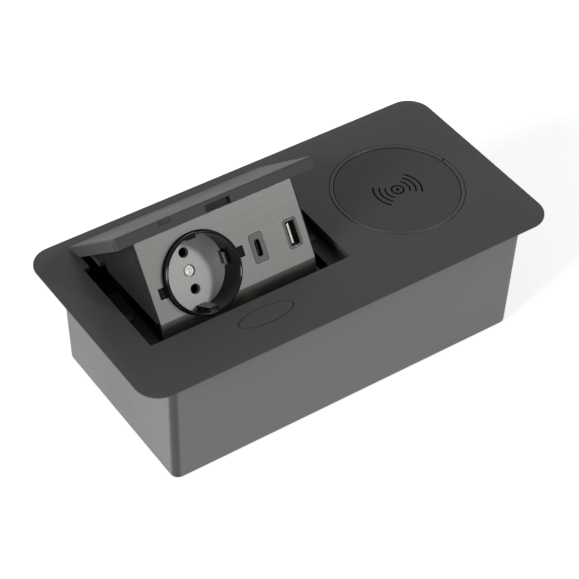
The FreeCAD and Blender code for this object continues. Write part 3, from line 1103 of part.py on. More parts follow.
def gear_parts():
    """The toothed sector on the cassette, the damper on the frame and its pinion."""
    sector_radius = size("gear_module") * size("sector_teeth") / 2
    pinion_radius = size("gear_module") * size("pinion_teeth") / 2
    wide = size("gear_wide")
    closed_mesh = size("damper_direction") + size("open_angle")
    step = 360 / size("sector_teeth")
    below = math.ceil(size("open_angle") / step) - 1
    shapes = []
    for number in range(-below, 2):
        shapes.append(tooth(sector_radius, closed_mesh + (number - 0.5) * step, True, wide))
    root = sector_radius + size("tooth_down")
    rim = root + size("sector_rim")
    start = closed_mesh - (below + 0.85) * step
    sweep = (below + 1.85) * step
    along_x = FreeCAD.Vector(1, 0, 0)
    ring = Part.makeCylinder(rim, wide, FreeCAD.Vector(), along_x, 360)
    ring = ring.cut(Part.makeCylinder(root, wide + 2, FreeCAD.Vector(-1, 0, 0), along_x, 360))
    reach = 2 * rim
    wedge_points = [FreeCAD.Vector()]
    for share in (0, 0.5, 1):
        angle = math.radians(start + share * sweep)
        wedge_points.append(FreeCAD.Vector(0, reach * math.cos(angle), reach * math.sin(angle)))
    wedge_points.append(FreeCAD.Vector())
    wedge = Part.Face(Part.makePolygon(wedge_points)).extrude(FreeCAD.Vector(wide, 0, 0))
    toothed = doc.addObject("Part::Feature", "SectorTeeth")
    toothed.Shape = ring.common(wedge).fuse(shapes).removeSplitter()
    place(toothed, GEAR_LEFT, "pivot_y", AXIS_Z)
    flange = block("SectorFlange", CHEEK_RIGHT, f"{SHELL_BACK} - 10", f"body_height - shell_heel + 1.6",
                   "gear_clear + 0.6", 10.6, "shell_heel - 6.4")
    holes = [rod(f"FlangeHole{number}", "small_screw + 0.1", 6, f"{CHEEK_RIGHT} - 1", y, z, along="x")
             for number, (y, z) in enumerate(SECTOR_SCREWS)]
    finish("gear_sector", swing_open(cut("GearSector", join("SectorWhole", toothed, flange), *holes)))
    screws = []
    for number, (y, z) in enumerate(SECTOR_SCREWS):
        head = rod(f"SectorHead{number}", "small_head", "small_head_tall", f"{CHEEK_RIGHT} + gear_clear + 0.6",
                   y, z, along="x")
        shank = rod(f"SectorShank{number}", "small_screw", "shell_wall + gear_clear + 0.8",
                    f"{CHEEK_RIGHT} - shell_wall", y, z, along="x")
        screws.append(join(f"SectorScrew{number}", head, shank))
    finish("sector_screws", swing_open(gather("SectorScrews", screws)))

    pinion_shapes = [tooth(pinion_radius, size("damper_direction") + number * 360 / size("pinion_teeth"), False, wide)
                     for number in range(int(size("pinion_teeth")))]
    hub = Part.makeCylinder(pinion_radius - size("tooth_down"), wide, FreeCAD.Vector(), along_x)
    bore = Part.makeCylinder(size("axle_radius") + 0.05, wide + 2, FreeCAD.Vector(-1, 0, 0), along_x)
    pinion = doc.addObject("Part::Feature", "PinionTeeth")
    pinion.Shape = hub.fuse(pinion_shapes).removeSplitter().cut(bore)
    finish("damper_pinion", place(pinion, GEAR_LEFT, DAMPER_Y, DAMPER_Z))
    body = rod("DamperCan", "damper_radius", "damper_long", DAMPER_LEFT, DAMPER_Y, DAMPER_Z, along="x")
    axle = rod("DamperAxle", "axle_radius", f"{DAMPER_LEFT} - {GEAR_LEFT} + 0.8", f"{GEAR_LEFT} - 0.3", DAMPER_Y,
               DAMPER_Z, along="x")
    collar = rod("DamperCollar", "axle_radius + 1", "damper_gap - part_gap + 0.3", f"{GEAR_LEFT} + gear_wide + part_gap",
                 DAMPER_Y, DAMPER_Z, along="x")
    stub = rod("DamperStub", "axle_radius + 0.8", "2.4", f"{DAMPER_BACK} - 0.4", DAMPER_Y, DAMPER_Z, along="x")
    finish("damper_body", join("DamperBody", body, axle, collar, stub))


LATCH_RIGHT = "(button_x + slot_long / 2 - 2 * part_gap)"
LATCH_LEFT = f"({LATCH_RIGHT} - latch_wide)"
GUIDE_TOP = "(body_height - guide_drop)"
LIP_LOW = "(body_height - button_cap - button_lip)"
STEM_FRONT = "(button_y + stem_deep)"
SLIDE_TOP = f"({GUIDE_TOP} + part_gap + latch_thick)"


def button_parts():
    """The release button, the latch slide that it draws back, their guide and springs."""
    cap = oval_block("ButtonCap", "button_half_long", "button_half_wide", "button_cap + 0.2",
                     "body_height - button_cap - 0.2")
    lip = oval_block("ButtonLipBlock", "button_half_long + button_lip", "button_half_wide + button_lip",
                     "button_lip", LIP_LOW)
    slope_foot = f"({SLIDE_TOP} - latch_thick - 0.7)"
    stem_back = f"({STEM_FRONT} - stem_deep)"
    stem = [(STEM_FRONT, f"{LIP_LOW} + 0.2"), (STEM_FRONT, f"{LIP_LOW} - stem_long"),
            (stem_back, f"{LIP_LOW} - stem_long"), (stem_back, slope_foot),
            (f"{stem_back} - ({LIP_LOW} - 1 - {slope_foot})", f"{LIP_LOW} - 1"),
            (f"{stem_back} - ({LIP_LOW} - 1 - {slope_foot})", f"{LIP_LOW} + 0.2")]
    wedge = side_prism("ButtonStem", stem, "stem_wide", x="button_x - stem_wide / 2")
    finish("release_button", join("ReleaseButton", cap, lip, wedge))

    slide_back = f"({LID_FRONT} + latch_reach - latch_tail)"
    slide = block("SlideBlock", LATCH_LEFT, slide_back, f"{GUIDE_TOP} + part_gap", "latch_wide",
                  f"{NOSE_BACK} + 2.2 - {slide_back}", "latch_thick")
    riser = block("SlideRiser", NOSE_LEFT, NOSE_BACK, f"{GUIDE_TOP} + part_gap", f"{LATCH_RIGHT} - {NOSE_LEFT}",
                  2.2, f"body_height - nose_drop - {GUIDE_TOP} - part_gap")
    nose = block("SlideNose", NOSE_LEFT, NOSE_BACK, "body_height - nose_drop - latch_thick",
                 f"{LATCH_RIGHT} - {NOSE_LEFT}", f"{LID_FRONT} + latch_reach - {NOSE_BACK}", "latch_thick")
    slot_back = f"({stem_back} - ({SLIDE_TOP} - {slope_foot}) - part_gap / 2)"
    slot = block("SlideSlot", "button_x - stem_wide / 2 - part_gap", slot_back, GUIDE_TOP,
                 "stem_wide + 2 * part_gap", f"{STEM_FRONT} + button_travel + part_gap - {slot_back}", 4)
    finish("latch_slide", cut("LatchSlide", join("SlideWhole", slide, riser, nose), slot))

    guide_y = "(button_y + button_half_wide + button_lip + part_gap)"
    plate = block("GuidePlate", "button_x - guide_screw_off - 4.5", "button_y - 7", f"{GUIDE_TOP} - guide_thick",
                  "2 * guide_screw_off + 9", f"{guide_y} - button_y + 7", "guide_thick")
    tail_y = f"({slide_back} - 6.1)"
    tail = block("GuideTail", "button_x - 2.5", tail_y, f"{GUIDE_TOP} - guide_thick", 5,
                 f"button_y - {tail_y}", "guide_thick")
    stop = block("GuideStop", "button_x - 2.5", tail_y, f"{GUIDE_TOP} - guide_thick", 5, 1.2,
                 "guide_thick + latch_thick + part_gap + 0.8")
    rails = [block("RailLeft", f"{LATCH_LEFT} - part_gap - 1.2", "button_y - 4", f"{GUIDE_TOP} - 0.2", 1.2,
                   f"{guide_y} - button_y + 4", "latch_thick + 0.4"),
             block("RailRight", f"{LATCH_RIGHT} + part_gap", "button_y - 4", f"{GUIDE_TOP} - 0.2", 1.2,
                   f"{guide_y} - button_y + 4", "latch_thick + 0.4")]
    holes = [rod(f"GuideHole{number}", "screw_radius + screw_fit", 6, x, y, f"{GUIDE_TOP} - 4")
             for number, (x, y) in enumerate(GUIDE_POSTS)]
    holes.append(block("StemHole", "button_x - stem_wide / 2 - part_gap", f"{stem_back} - button_travel - 3 * part_gap",
                       f"{GUIDE_TOP} - 4", "stem_wide + 2 * part_gap",
                       "stem_deep + button_travel + 4 * part_gap", 6))
    finish("latch_guide", cut("LatchGuide", join("GuideWhole", plate, tail, stop, *rails), *holes))
    screws = [screw(f"GuideScrew{number}", x, y, f"{GUIDE_TOP} - guide_thick",
                    "guide_thick + guide_drop - plate_thick - 1") for number, (x, y) in enumerate(GUIDE_POSTS)]
    finish("guide_screws", gather("GuideScrews", screws))
    for side, off in (("left", "-coil_off"), ("right", "coil_off")):
        finish("button_spring_" + side, coil("ButtonSpring" + side, "coil_radius", "coil_wire", 4,
                                             f"{LIP_LOW} - {GUIDE_TOP}", f"button_x + {off}", "button_y", GUIDE_TOP))
    finish("latch_spring", coil("LatchSpring", "latch_thick / 2 - coil_wire / 2 + 0.2", "coil_wire", 5,
                                f"{slide_back} - {tail_y} - 1.2", "button_x", f"{tail_y} + 1.2",
                                f"{GUIDE_TOP} + part_gap + latch_thick / 2", along="y"))


NOSE_LEFT = "(socket_x + collar_radius + 0.5)"
NOSE_BACK = "(opening_front - front_gap - 0.2)"


def charger_parts():
    """The charging disc in its trim ring, with coil, ferrite, board, cup and screws below."""
    low = "(body_height - disc_low - disc_thick)"
    ring_low = f"({PLATE_LOW} - ring_flange_thick)"
    top = "(body_height + ring_proud)"
    profile = [("ring_radius - ring_wide - ring_ledge", ring_low), ("ring_radius + ring_flange", ring_low),
               ("ring_radius + ring_flange", PLATE_LOW), ("ring_radius", PLATE_LOW), ("ring_radius", f"{top} - 0.3"),
               ("ring_radius - 0.3", top), ("ring_radius - ring_wide + 0.3", top),
               ("ring_radius - ring_wide", f"{top} - 0.3"), ("ring_radius - ring_wide", low),
               ("ring_radius - ring_wide - ring_ledge", low)]
    ring = turned("RingTurn", profile, "disc_x", "disc_y", 0)
    nick = bar("RingNick", "disc_x + (ring_radius - ring_wide / 2) * cos(nick_angle * 1deg)",
               "disc_y + (ring_radius - ring_wide / 2) * sin(nick_angle * 1deg)", f"{top} - 0.8",
               "ring_wide - 0.5", "nick_long", 2)
    tub_side = "(box_length / 2 - box_wall + body_height / 2 * tan(box_draft * 1deg))"
    side_cut = block("RingSideCut", tub_side, "disc_y - ring_radius", f"{ring_low} - 1", 10, "2 * ring_radius",
                     "ring_flange_thick + 1")
    finish("charger_ring", cut("ChargerRing", ring, nick, side_cut))
    disc_edge = "(ring_radius - ring_wide - disc_gap)"
    disc_profile = [("0", low), (disc_edge, low), (disc_edge, f"{low} + disc_thick - 0.3"),
                    (f"{disc_edge} - 0.3", f"{low} + disc_thick"), ("0", f"{low} + disc_thick")]
    finish("charger_disc", turned("ChargerDisc", disc_profile, "disc_x", "disc_y", 0))
    coil_low = f"{low} - coil_thick"
    coil_rings = cut("CoilRing", rod("CoilOuter", "coil_outer", "coil_thick", "disc_x", "disc_y", coil_low),
                     rod("CoilInner", "coil_inner", "coil_thick + 2", "disc_x", "disc_y", f"{coil_low} - 1"))
    finish("charging_coil", coil_rings)
    finish("ferrite_sheet", rod("FerriteSheet", "coil_outer + ferrite_edge", "ferrite_thick", "disc_x", "disc_y",
                                f"{coil_low} - ferrite_thick"))
    cup_low = f"({ring_low} - cup_deep)"
    cup = cut("CupShell", rod("CupOuter", "cup_radius", "cup_deep", "disc_x", "disc_y", cup_low),
              rod("CupInner", "cup_radius - cup_wall", "cup_deep", "disc_x", "disc_y", f"{cup_low} + cup_wall"))
    ear_z = "(body_height - cup_ear_drop - cup_wall)"
    pieces = [cup]
    holes = []
    for number, (x, y) in enumerate(CUP_POSTS):
        pieces.append(cut(f"CupEar{number}", rod(f"CupEarDisc{number}", "post_radius + 2.8", "cup_wall", x, y, ear_z),
                          rod(f"CupEarTrim{number}", "cup_radius - cup_wall", "cup_wall + 2", "disc_x", "disc_y",
                              f"{ear_z} - 1")))
        holes.append(rod(f"CupHole{number}", "screw_radius + screw_fit", 8, x, y, f"{ear_z} - 3"))
        holes.append(rod(f"CupPostRoom{number}", "post_radius + 0.1", 10, x, y, f"{ear_z} + cup_wall"))
    board_z = f"({cup_low} + cup_wall + board_post)"
    for number, angle in enumerate((30, 150, 270)):
        pieces.append(rod(f"BoardPeg{number}", 2.5, "board_post + 0.2", f"disc_x + (board_radius - 4) * cos({angle} * 1deg)",
                          f"disc_y + (board_radius - 4) * sin({angle} * 1deg)", f"{cup_low} + cup_wall - 0.2"))
    lead = rod("CupLead", 3, 12, "disc_x - cup_radius - 4", "disc_y", f"{cup_low} + 5", along="x")
    finish("charger_cup", cut("ChargerCup", join("CupWhole", *pieces), *holes, lead))
    board = rod("ChargerBoardDisc", "board_radius", "board_thick", "disc_x", "disc_y", board_z)
    chips = [bar(f"ChargerChip{number}", f"disc_x + {x}", f"disc_y + {y}", f"{board_z} + board_thick - 0.1", wide, wide, 1.4)
             for number, (x, y, wide) in enumerate(((0, 0, 8), (-14, 6, 5), (12, -10, 6)))]
    finish("charger_board", join("ChargerBoard", board, *chips))
    screws = [screw(f"CupScrew{number}", x, y, ear_z, "cup_wall + cup_ear_drop - plate_thick - 1")
              for number, (x, y) in enumerate(CUP_POSTS)]
    finish("charger_screws", gather("ChargerScrews", screws))


def supply_parts():
    """The supply board and its parts, the terminal block, the cable grommet and the cord clamp."""
    board = bar("SupplySheet", "supply_x", "supply_y", "box_floor + supply_high", "supply_long", "supply_wide",
                "board_thick")
    holes = [rod(f"SupplyHole{number}", "screw_radius + 0.1", 6, x, y, "box_floor + supply_high - 2")
             for number, (x, y) in enumerate(SUPPLY_POSTS)]
    finish("supply_board", cut("SupplyBoard", board, *holes))
    screws = [screw(f"SupplyScrew{number}", x, y, SUPPLY_TOP, "board_thick + supply_high - 3", upward=False)
              for number, (x, y) in enumerate(SUPPLY_POSTS)]
    finish("supply_screws", gather("SupplyScrews", screws))
    core_x = "supply_x - supply_long / 2 + supply_inset + core_long / 2 + 3"
    core = bar("Core", core_x, "supply_y", SUPPLY_TOP, "core_long", "core_thick", "core_tall")
    winding = bar("Winding", core_x, "supply_y", SUPPLY_TOP, "core_long * 0.62", "winding_wide", "core_tall * 0.8")
    finish("transformer", join("Transformer", core, winding))
    cans = [rod(f"Can{number}", "capacitor_radius", "capacitor_tall", "supply_x + supply_long / 4 + 2",
                f"supply_y + {side} * (capacitor_radius + 1.5)", SUPPLY_TOP) for number, side in enumerate((-1, 1))]
    finish("filter_capacitors", gather("FilterCapacitors", cans))
    terminal_z = "(box_floor + terminal_pad)"
    body = bar("TerminalBody", "terminal_x", "inlet_y", terminal_z, "terminal_long", "terminal_wide", "terminal_tall")
    wells = []
    for number in (-1, 0, 1):
        x = f"terminal_x + {number} * terminal_long / 3.3"
        wells.append(rod(f"TerminalWell{number + 1}", 2.4, 5, x, "inlet_y", f"{terminal_z} + terminal_tall - 4"))
        wells.append(rod(f"TerminalBore{number + 1}", 1.9, "terminal_wide + 2", x, "inlet_y - terminal_wide / 2 - 1",
                         f"{terminal_z} + 5", along="y"))
    finish("terminal_block", cut("TerminalBlock", body, *wells))
    wall_out = "(box_length / 2 + (inlet_high + inlet_radius + grommet_flange) * tan(box_draft * 1deg))"
    wall_in = "(box_length / 2 - box_wall + (inlet_high - inlet_radius - grommet_flange - box_floor) * tan(box_draft * 1deg))"
    profile = [("cable_radius", f"{wall_in} - 1.6"), ("inlet_radius + grommet_flange", f"{wall_in} - 1.6"),
               ("inlet_radius + grommet_flange", f"{wall_in} - 0.1"), ("inlet_radius - 0.1", f"{wall_in} - 0.1"),
               ("inlet_radius - 0.1", f"{wall_out} + 0.1"), ("inlet_radius + grommet_flange", f"{wall_out} + 0.1"),
               ("inlet_radius + grommet_flange - 0.5", f"{wall_out} + grommet_proud"),
               ("cable_radius + 0.5", f"{wall_out} + grommet_proud"), ("cable_radius", f"{wall_out} + grommet_proud - 0.5")]
    finish("cable_grommet", turned("CableGrommet", profile, 0, "inlet_y", "inlet_high", along="x"))
    strap = bar("Strap", CLAMP_X, "inlet_y", "inlet_high", "clamp_long", "2 * clamp_screw_off + 2 * post_radius",
                "clamp_tall")
    channel = rod("StrapChannel", "cable_radius", "clamp_long + 4", f"{CLAMP_X} - clamp_long / 2 - 2", "inlet_y",
                  "inlet_high", along="x")
    strap_holes = [rod(f"StrapHole{number}", "screw_radius + screw_fit", "clamp_tall + 2", x, y, "inlet_high - 1")
                   for number, (x, y) in enumerate(CLAMP_POSTS)]
    finish("cord_clamp", cut("CordClamp", strap, channel, *strap_holes))
    clamp_screws = [screw(f"ClampScrew{number}", x, y, "inlet_high + clamp_tall", "clamp_tall + screw_bite",
                          upward=False) for number, (x, y) in enumerate(CLAMP_POSTS)]
    finish("clamp_screws", gather("ClampScrews", clamp_screws))


def check_and_write():
    """Stops on any failed object or shape, then writes one file for each sub-part."""
    doc.recompute()
    for thing in doc.Objects:
        if {"Invalid", "Error"} & set(thing.State):
            raise RuntimeError(f"{thing.Name} failed: {thing.State}")
    os.makedirs("parts", exist_ok=True)
    for thing in sub_parts:
        shape = thing.Shape
        if shape.isNull() or not shape.isValid() or not shape.Solids:
            raise RuntimeError(f"{thing.Label} has no valid shape")
        print(thing.Label, len(shape.Solids), round(shape.Volume))
        shape.exportStep(f"parts/{thing.Label}.step")


enter_sizes((PLATE, TUB, HINGE, LID, CASSETTE, OUTLETS, FRAME, GEARS, BUTTON, CHARGER, SUPPLY))
top_plate()
housing_box()
well_frame()
hinge_hardware()
lid()
cassette_shell()
face_panel()
socket_parts()
port_parts()
gear_parts()
button_parts()
charger_parts()
supply_parts()
check_and_write()
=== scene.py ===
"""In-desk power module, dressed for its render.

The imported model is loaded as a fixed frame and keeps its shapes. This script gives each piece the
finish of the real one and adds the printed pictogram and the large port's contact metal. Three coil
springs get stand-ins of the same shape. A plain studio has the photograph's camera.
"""

import logging
import math
from dataclasses import dataclass, field
from enum import Enum
from typing import Any, Iterable

import bmesh
import bpy
from mathutils import Matrix, Vector

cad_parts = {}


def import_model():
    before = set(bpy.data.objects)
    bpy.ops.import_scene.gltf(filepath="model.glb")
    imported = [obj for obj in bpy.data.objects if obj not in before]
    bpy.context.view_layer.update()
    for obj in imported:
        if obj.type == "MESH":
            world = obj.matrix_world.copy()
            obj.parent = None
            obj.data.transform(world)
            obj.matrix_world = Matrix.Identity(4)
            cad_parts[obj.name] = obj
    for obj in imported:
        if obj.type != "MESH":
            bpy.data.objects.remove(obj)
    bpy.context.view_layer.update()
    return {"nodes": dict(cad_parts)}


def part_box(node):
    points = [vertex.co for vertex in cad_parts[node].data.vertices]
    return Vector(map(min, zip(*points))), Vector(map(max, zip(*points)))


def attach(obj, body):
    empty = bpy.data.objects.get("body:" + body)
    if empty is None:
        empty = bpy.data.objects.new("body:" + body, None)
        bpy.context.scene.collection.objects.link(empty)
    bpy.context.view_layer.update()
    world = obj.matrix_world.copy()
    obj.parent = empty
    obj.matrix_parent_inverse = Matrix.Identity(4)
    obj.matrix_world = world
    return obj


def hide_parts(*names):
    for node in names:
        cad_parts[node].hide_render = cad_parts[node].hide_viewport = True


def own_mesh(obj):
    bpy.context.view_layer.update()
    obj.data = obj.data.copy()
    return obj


LOG = logging.getLogger("power_module")
MM = 0.001
PHOTO_SIDE = 579
# The rings of Blender's wave texture stand this far apart at a scale of one.
RING_PITCH = 0.314
# Nearly all of a noise texture's values lie between these two.
NOISE_LOW, NOISE_HIGH = 0.3, 0.7
WHITE = (1.0, 1.0, 1.0, 1.0)
Rgba = tuple[float, float, float, float]


def linear(hex_colour: str) -> Rgba:
    """Turn an sRGB hex colour into the linear colour that a shader takes.

    Args:
        hex_colour: Six hex digits, such as "46484A".

    Returns:
        Red, green, blue and a full alpha.
    """
    parts = [int(hex_colour[place:place + 2], 16) / 255 for place in (0, 2, 4)]
    red, green, blue = (
        part / 12.92 if part <= 0.04045 else ((part + 0.055) / 1.055) ** 2.4 for part in parts
    )
    return red, green, blue, 1.0


def toned(colour: Rgba, share: float, lift: float = 0.0) -> Rgba:
    """Make a darker or paler tone of a colour.

    Args:
        colour: The linear colour.
        share: What its three parts are multiplied by.
        lift: What is added to each of them.

    Returns:
        The tone, no part above one, with a full alpha.
    """
    red, green, blue = (min(part * share + lift, 1.0) for part in colour[:3])
    return red, green, blue, 1.0


def mesh_data(name: str, mesh: bmesh.types.BMesh) -> bpy.types.Mesh:
    """Turn a finished bmesh into mesh data and free it.

    Args:
        name: The data's name.
        mesh: The bmesh, which can't be used afterwards.

    Returns:
        The new mesh data.
    """
    data = bpy.data.meshes.new(name)
    mesh.to_mesh(data)
    mesh.free()
    return data


def add_node(
    tree: bpy.types.NodeTree,
    kind: str,
    settings: dict[Any, Any] | None = None,
    links: dict[Any, bpy.types.NodeSocket] | None = None,
) -> bpy.types.Node:
    """Add one node to a tree, with its settings and the links into it.

    Args:
        tree: The node tree of a material or of the world.
        kind: Blender's name for the kind of node.
        settings: Socket names or numbers, or the node's own options, with their values.
        links: Socket names or numbers with the outputs that feed them.

    Returns:
        The new node.
    """
    node = tree.nodes.new(kind)
    own_options = [key for key in settings or {} if isinstance(key, str) and key not in node.inputs]
    for key in own_options:
        setattr(node, key, settings[key])
    for key, value in (settings or {}).items():
        if key not in own_options:
            node.inputs[key].default_value = value
    for key, output in (links or {}).items():
        tree.links.new(output, node.inputs[key])
    return node


@dataclass(frozen=True)
class Surface:
    """A finish: one material, named for what the real one is."""

    name: str
    colour: str
    roughness: float

    def start(self) -> tuple[bpy.types.Material, bpy.types.NodeTree, bpy.types.Node]:
        """Make the material with its shader and output.

        Returns:
            The material, its node tree and its shader node.
        """
        material = bpy.data.materials.new(self.name)
        material.use_nodes = True
        material.diffuse_color = linear(self.colour)
        tree = material.node_tree
        tree.nodes.clear()
        shader = add_node(tree, "ShaderNodeBsdfPrincipled", {"Base Color": linear(self.colour),
                                                             "Roughness": self.roughness})
        add_node(tree, "ShaderNodeOutputMaterial", {}, {"Surface": shader.outputs["BSDF"]})
        return material, tree, shader

    def uneven_gloss(self, tree: bpy.types.NodeTree, pattern: bpy.types.Node, less: float,
                     more: float) -> bpy.types.Node:
        """Vary the roughness with a noise pattern.

        Args:
            tree: The material's node tree.
            pattern: The noise node.
            less: How far the roughness falls below the finish's own.
            more: How far it rises above it.

        Returns:
            The node whose Result is the roughness.
        """
        return add_node(tree, "ShaderNodeMapRange",
                        {"From Min": NOISE_LOW, "From Max": NOISE_HIGH,
                         "To Min": self.roughness - less, "To Max": self.roughness + more},
                        {"Value": pattern.outputs["Fac"]})

    def build(self) -> bpy.types.Material:
        """Make the material of this finish."""
        raise NotImplementedError


@dataclass(frozen=True)
class Moulding(Surface):
    """Moulded plastic, and rubber, ferrite and ink too: fine grain, faint clouding and paler edges."""

    ior: float = 1.5
    grain_mm: float = 0.7
    grain_height_mm: float = 0.012
    cloud_mm: float = 38.0
    cloud_depth: float = 0.07
    roughness_spread: float = 0.05
    edge_mm: float = 0.3
    edge_gain: float = 0.35
    edge_from: float = 0.99
    edge_full: float = 0.86
    edge_tone: float = 1.5
    edge_lift: float = 0.01
    # Painted shade for upright corners: where it starts and is full, how deep it goes and its colour.
    painted_shade_from: float = 0.08
    painted_shade_full: float = 0.42
    painted_shade_depth: float = 0.0
    painted_shade_colour: str = "121212"

    def build(self) -> bpy.types.Material:
        """Make the moulded material.

        Returns:
            The finished material.
        """
        material, tree, shader = self.start()
        shader.inputs["IOR"].default_value = self.ior
        base = linear(self.colour)
        place = add_node(tree, "ShaderNodeTexCoord")
        soft_edge = add_node(tree, "ShaderNodeBevel", {"samples": 6, "Radius": self.edge_mm * MM})
        grain = add_node(tree, "ShaderNodeTexNoise",
                         {"Scale": 1 / (self.grain_mm * MM), "Detail": 2.5, "Roughness": 0.6},
                         {"Vector": place.outputs["Object"]})
        bump = add_node(tree, "ShaderNodeBump", {"Strength": 1.0, "Distance": self.grain_height_mm * MM},
                        {"Height": grain.outputs["Fac"], "Normal": soft_edge.outputs["Normal"]})
        clouds = add_node(tree, "ShaderNodeTexNoise",
                          {"Scale": 1 / (self.cloud_mm * MM), "Detail": 4.0, "Roughness": 0.55},
                          {"Vector": place.outputs["Object"]})
        clouded = add_node(tree, "ShaderNodeMix",
                           {"data_type": "RGBA", 6: toned(base, 1 - self.cloud_depth),
                            7: toned(base, 1 + self.cloud_depth)},
                           {0: clouds.outputs["Fac"]})
        flat = add_node(tree, "ShaderNodeNewGeometry")
        turn = add_node(tree, "ShaderNodeVectorMath", {"operation": "DOT_PRODUCT"},
                        {0: soft_edge.outputs["Normal"], 1: flat.outputs["Normal"]})
        on_edge = add_node(tree, "ShaderNodeMapRange",
                           {"From Min": self.edge_from, "From Max": self.edge_full, "To Max": self.edge_gain},
                           {"Value": turn.outputs["Value"]})
        colour = add_node(tree, "ShaderNodeMix",
                          {"data_type": "RGBA", 7: toned(base, self.edge_tone, self.edge_lift)},
                          {0: on_edge.outputs["Result"], 6: clouded.outputs[2]})
        gloss = self.uneven_gloss(tree, clouds, self.roughness_spread, self.roughness_spread)
        # Painted shade darkens the upright corners, in place of their darker reflection.
        if self.painted_shade_depth:
            colour = self.paint_shade_into_corners(tree, flat, colour)
        tree.links.new(colour.outputs[2], shader.inputs["Base Color"])
        tree.links.new(gloss.outputs["Result"], shader.inputs["Roughness"])
        tree.links.new(bump.outputs["Normal"], shader.inputs["Normal"])
        return material

    def paint_shade_into_corners(self, tree: bpy.types.NodeTree, flat: bpy.types.Node,
                       colour: bpy.types.Node) -> bpy.types.Node:
        """Paint shade into the upright corners as dark bands between the walls, standing in for their darker
        reflection.

        Args:
            tree: The material's node tree.
            flat: The geometry node that gives the surface's direction.
            colour: The mix node that gives the colour so far.

        Returns:
            The mix node with the darker corners.
        """
        parts = add_node(tree, "ShaderNodeSeparateXYZ", {}, {"Vector": flat.outputs["Normal"]})
        both = add_node(tree, "ShaderNodeMath", {"operation": "MULTIPLY"},
                        {0: parts.outputs["X"], 1: parts.outputs["Y"]})
        bend = add_node(tree, "ShaderNodeMath", {"operation": "ABSOLUTE"}, {0: both.outputs[0]})
        share = add_node(tree, "ShaderNodeMapRange",
                         {"interpolation_type": "SMOOTHSTEP", "From Min": self.painted_shade_from,
                          "From Max": self.painted_shade_full, "To Max": self.painted_shade_depth},
                         {"Value": bend.outputs[0]})
        return add_node(tree, "ShaderNodeMix", {"data_type": "RGBA", 7: linear(self.painted_shade_colour)},
                        {0: share.outputs["Result"], 6: colour.outputs[2]})


@dataclass(frozen=True)
class Brushed(Surface):
    """Metal brushed one way along X, under a dark anodised skin."""

    metallic: float = 1.0
    line_mm: float = 0.45
    streak_mm: float = 70.0
    line_height_mm: float = 0.006
    line_depth: float = 0.10
    roughness_spread: float = 0.05
    edge_mm: float = 0.25

    def build(self) -> bpy.types.Material:
        """Make the brushed material.

        Returns:
            The finished material.
        """
        material, tree, shader = self.start()
        shader.inputs["Metallic"].default_value = self.metallic
        base = linear(self.colour)
        place = add_node(tree, "ShaderNodeTexCoord")
        along, across = 1 / (self.streak_mm * MM), 1 / (self.line_mm * MM)
        stretched = add_node(tree, "ShaderNodeMapping", {"Scale": (along, across, across)},
                             {"Vector": place.outputs["Object"]})
        lines = add_node(tree, "ShaderNodeTexNoise", {"Scale": 1.0, "Detail": 5.0, "Roughness": 0.7},
                         {"Vector": stretched.outputs["Vector"]})
        soft_edge = add_node(tree, "ShaderNodeBevel", {"samples": 6, "Radius": self.edge_mm * MM})
        bump = add_node(tree, "ShaderNodeBump", {"Strength": 1.0, "Distance": self.line_height_mm * MM},
                        {"Height": lines.outputs["Fac"], "Normal": soft_edge.outputs["Normal"]})
        colour = add_node(tree, "ShaderNodeMix",
                          {"data_type": "RGBA", 6: toned(base, 1 - self.line_depth),
                           7: toned(base, 1 + self.line_depth)},
                          {0: lines.outputs["Fac"]})
        gloss = self.uneven_gloss(tree, lines, self.roughness_spread, self.roughness_spread)
        tree.links.new(colour.outputs[2], shader.inputs["Base Color"])
        tree.links.new(gloss.outputs["Result"], shader.inputs["Roughness"])
        tree.links.new(bump.outputs["Normal"], shader.inputs["Normal"])
        return material


@dataclass(frozen=True)
class Plated(Surface):
    """Plated or plain sheet metal and wire, with the faint uneven sheen of a plating bath."""

    patch_mm: float = 2.5
    patch_height_mm: float = 0.004
    patch_tone: float = 0.88
    smoother: float = 0.06
    rougher: float = 0.08
    edge_mm: float = 0.12

    def build(self) -> bpy.types.Material:
        """Make the plated material.

        Returns:
            The finished material.
        """
        material, tree, shader = self.start()
        shader.inputs["Metallic"].default_value = 1.0
        base = linear(self.colour)
        place = add_node(tree, "ShaderNodeTexCoord")
        patches = add_node(tree, "ShaderNodeTexNoise",
                           {"Scale": 1 / (self.patch_mm * MM), "Detail": 4.0, "Roughness": 0.6},
                           {"Vector": place.outputs["Object"]})
        soft_edge = add_node(tree, "ShaderNodeBevel", {"samples": 4, "Radius": self.edge_mm * MM})
        bump = add_node(tree, "ShaderNodeBump", {"Strength": 0.6, "Distance": self.patch_height_mm * MM},
                        {"Height": patches.outputs["Fac"], "Normal": soft_edge.outputs["Normal"]})
        colour = add_node(tree, "ShaderNodeMix",
                          {"data_type": "RGBA", 6: toned(base, self.patch_tone), 7: base},
                          {0: patches.outputs["Fac"]})
        gloss = self.uneven_gloss(tree, patches, self.smoother, self.rougher)
        tree.links.new(colour.outputs[2], shader.inputs["Base Color"])
        tree.links.new(gloss.outputs["Result"], shader.inputs["Roughness"])
        tree.links.new(bump.outputs["Normal"], shader.inputs["Normal"])
        return material


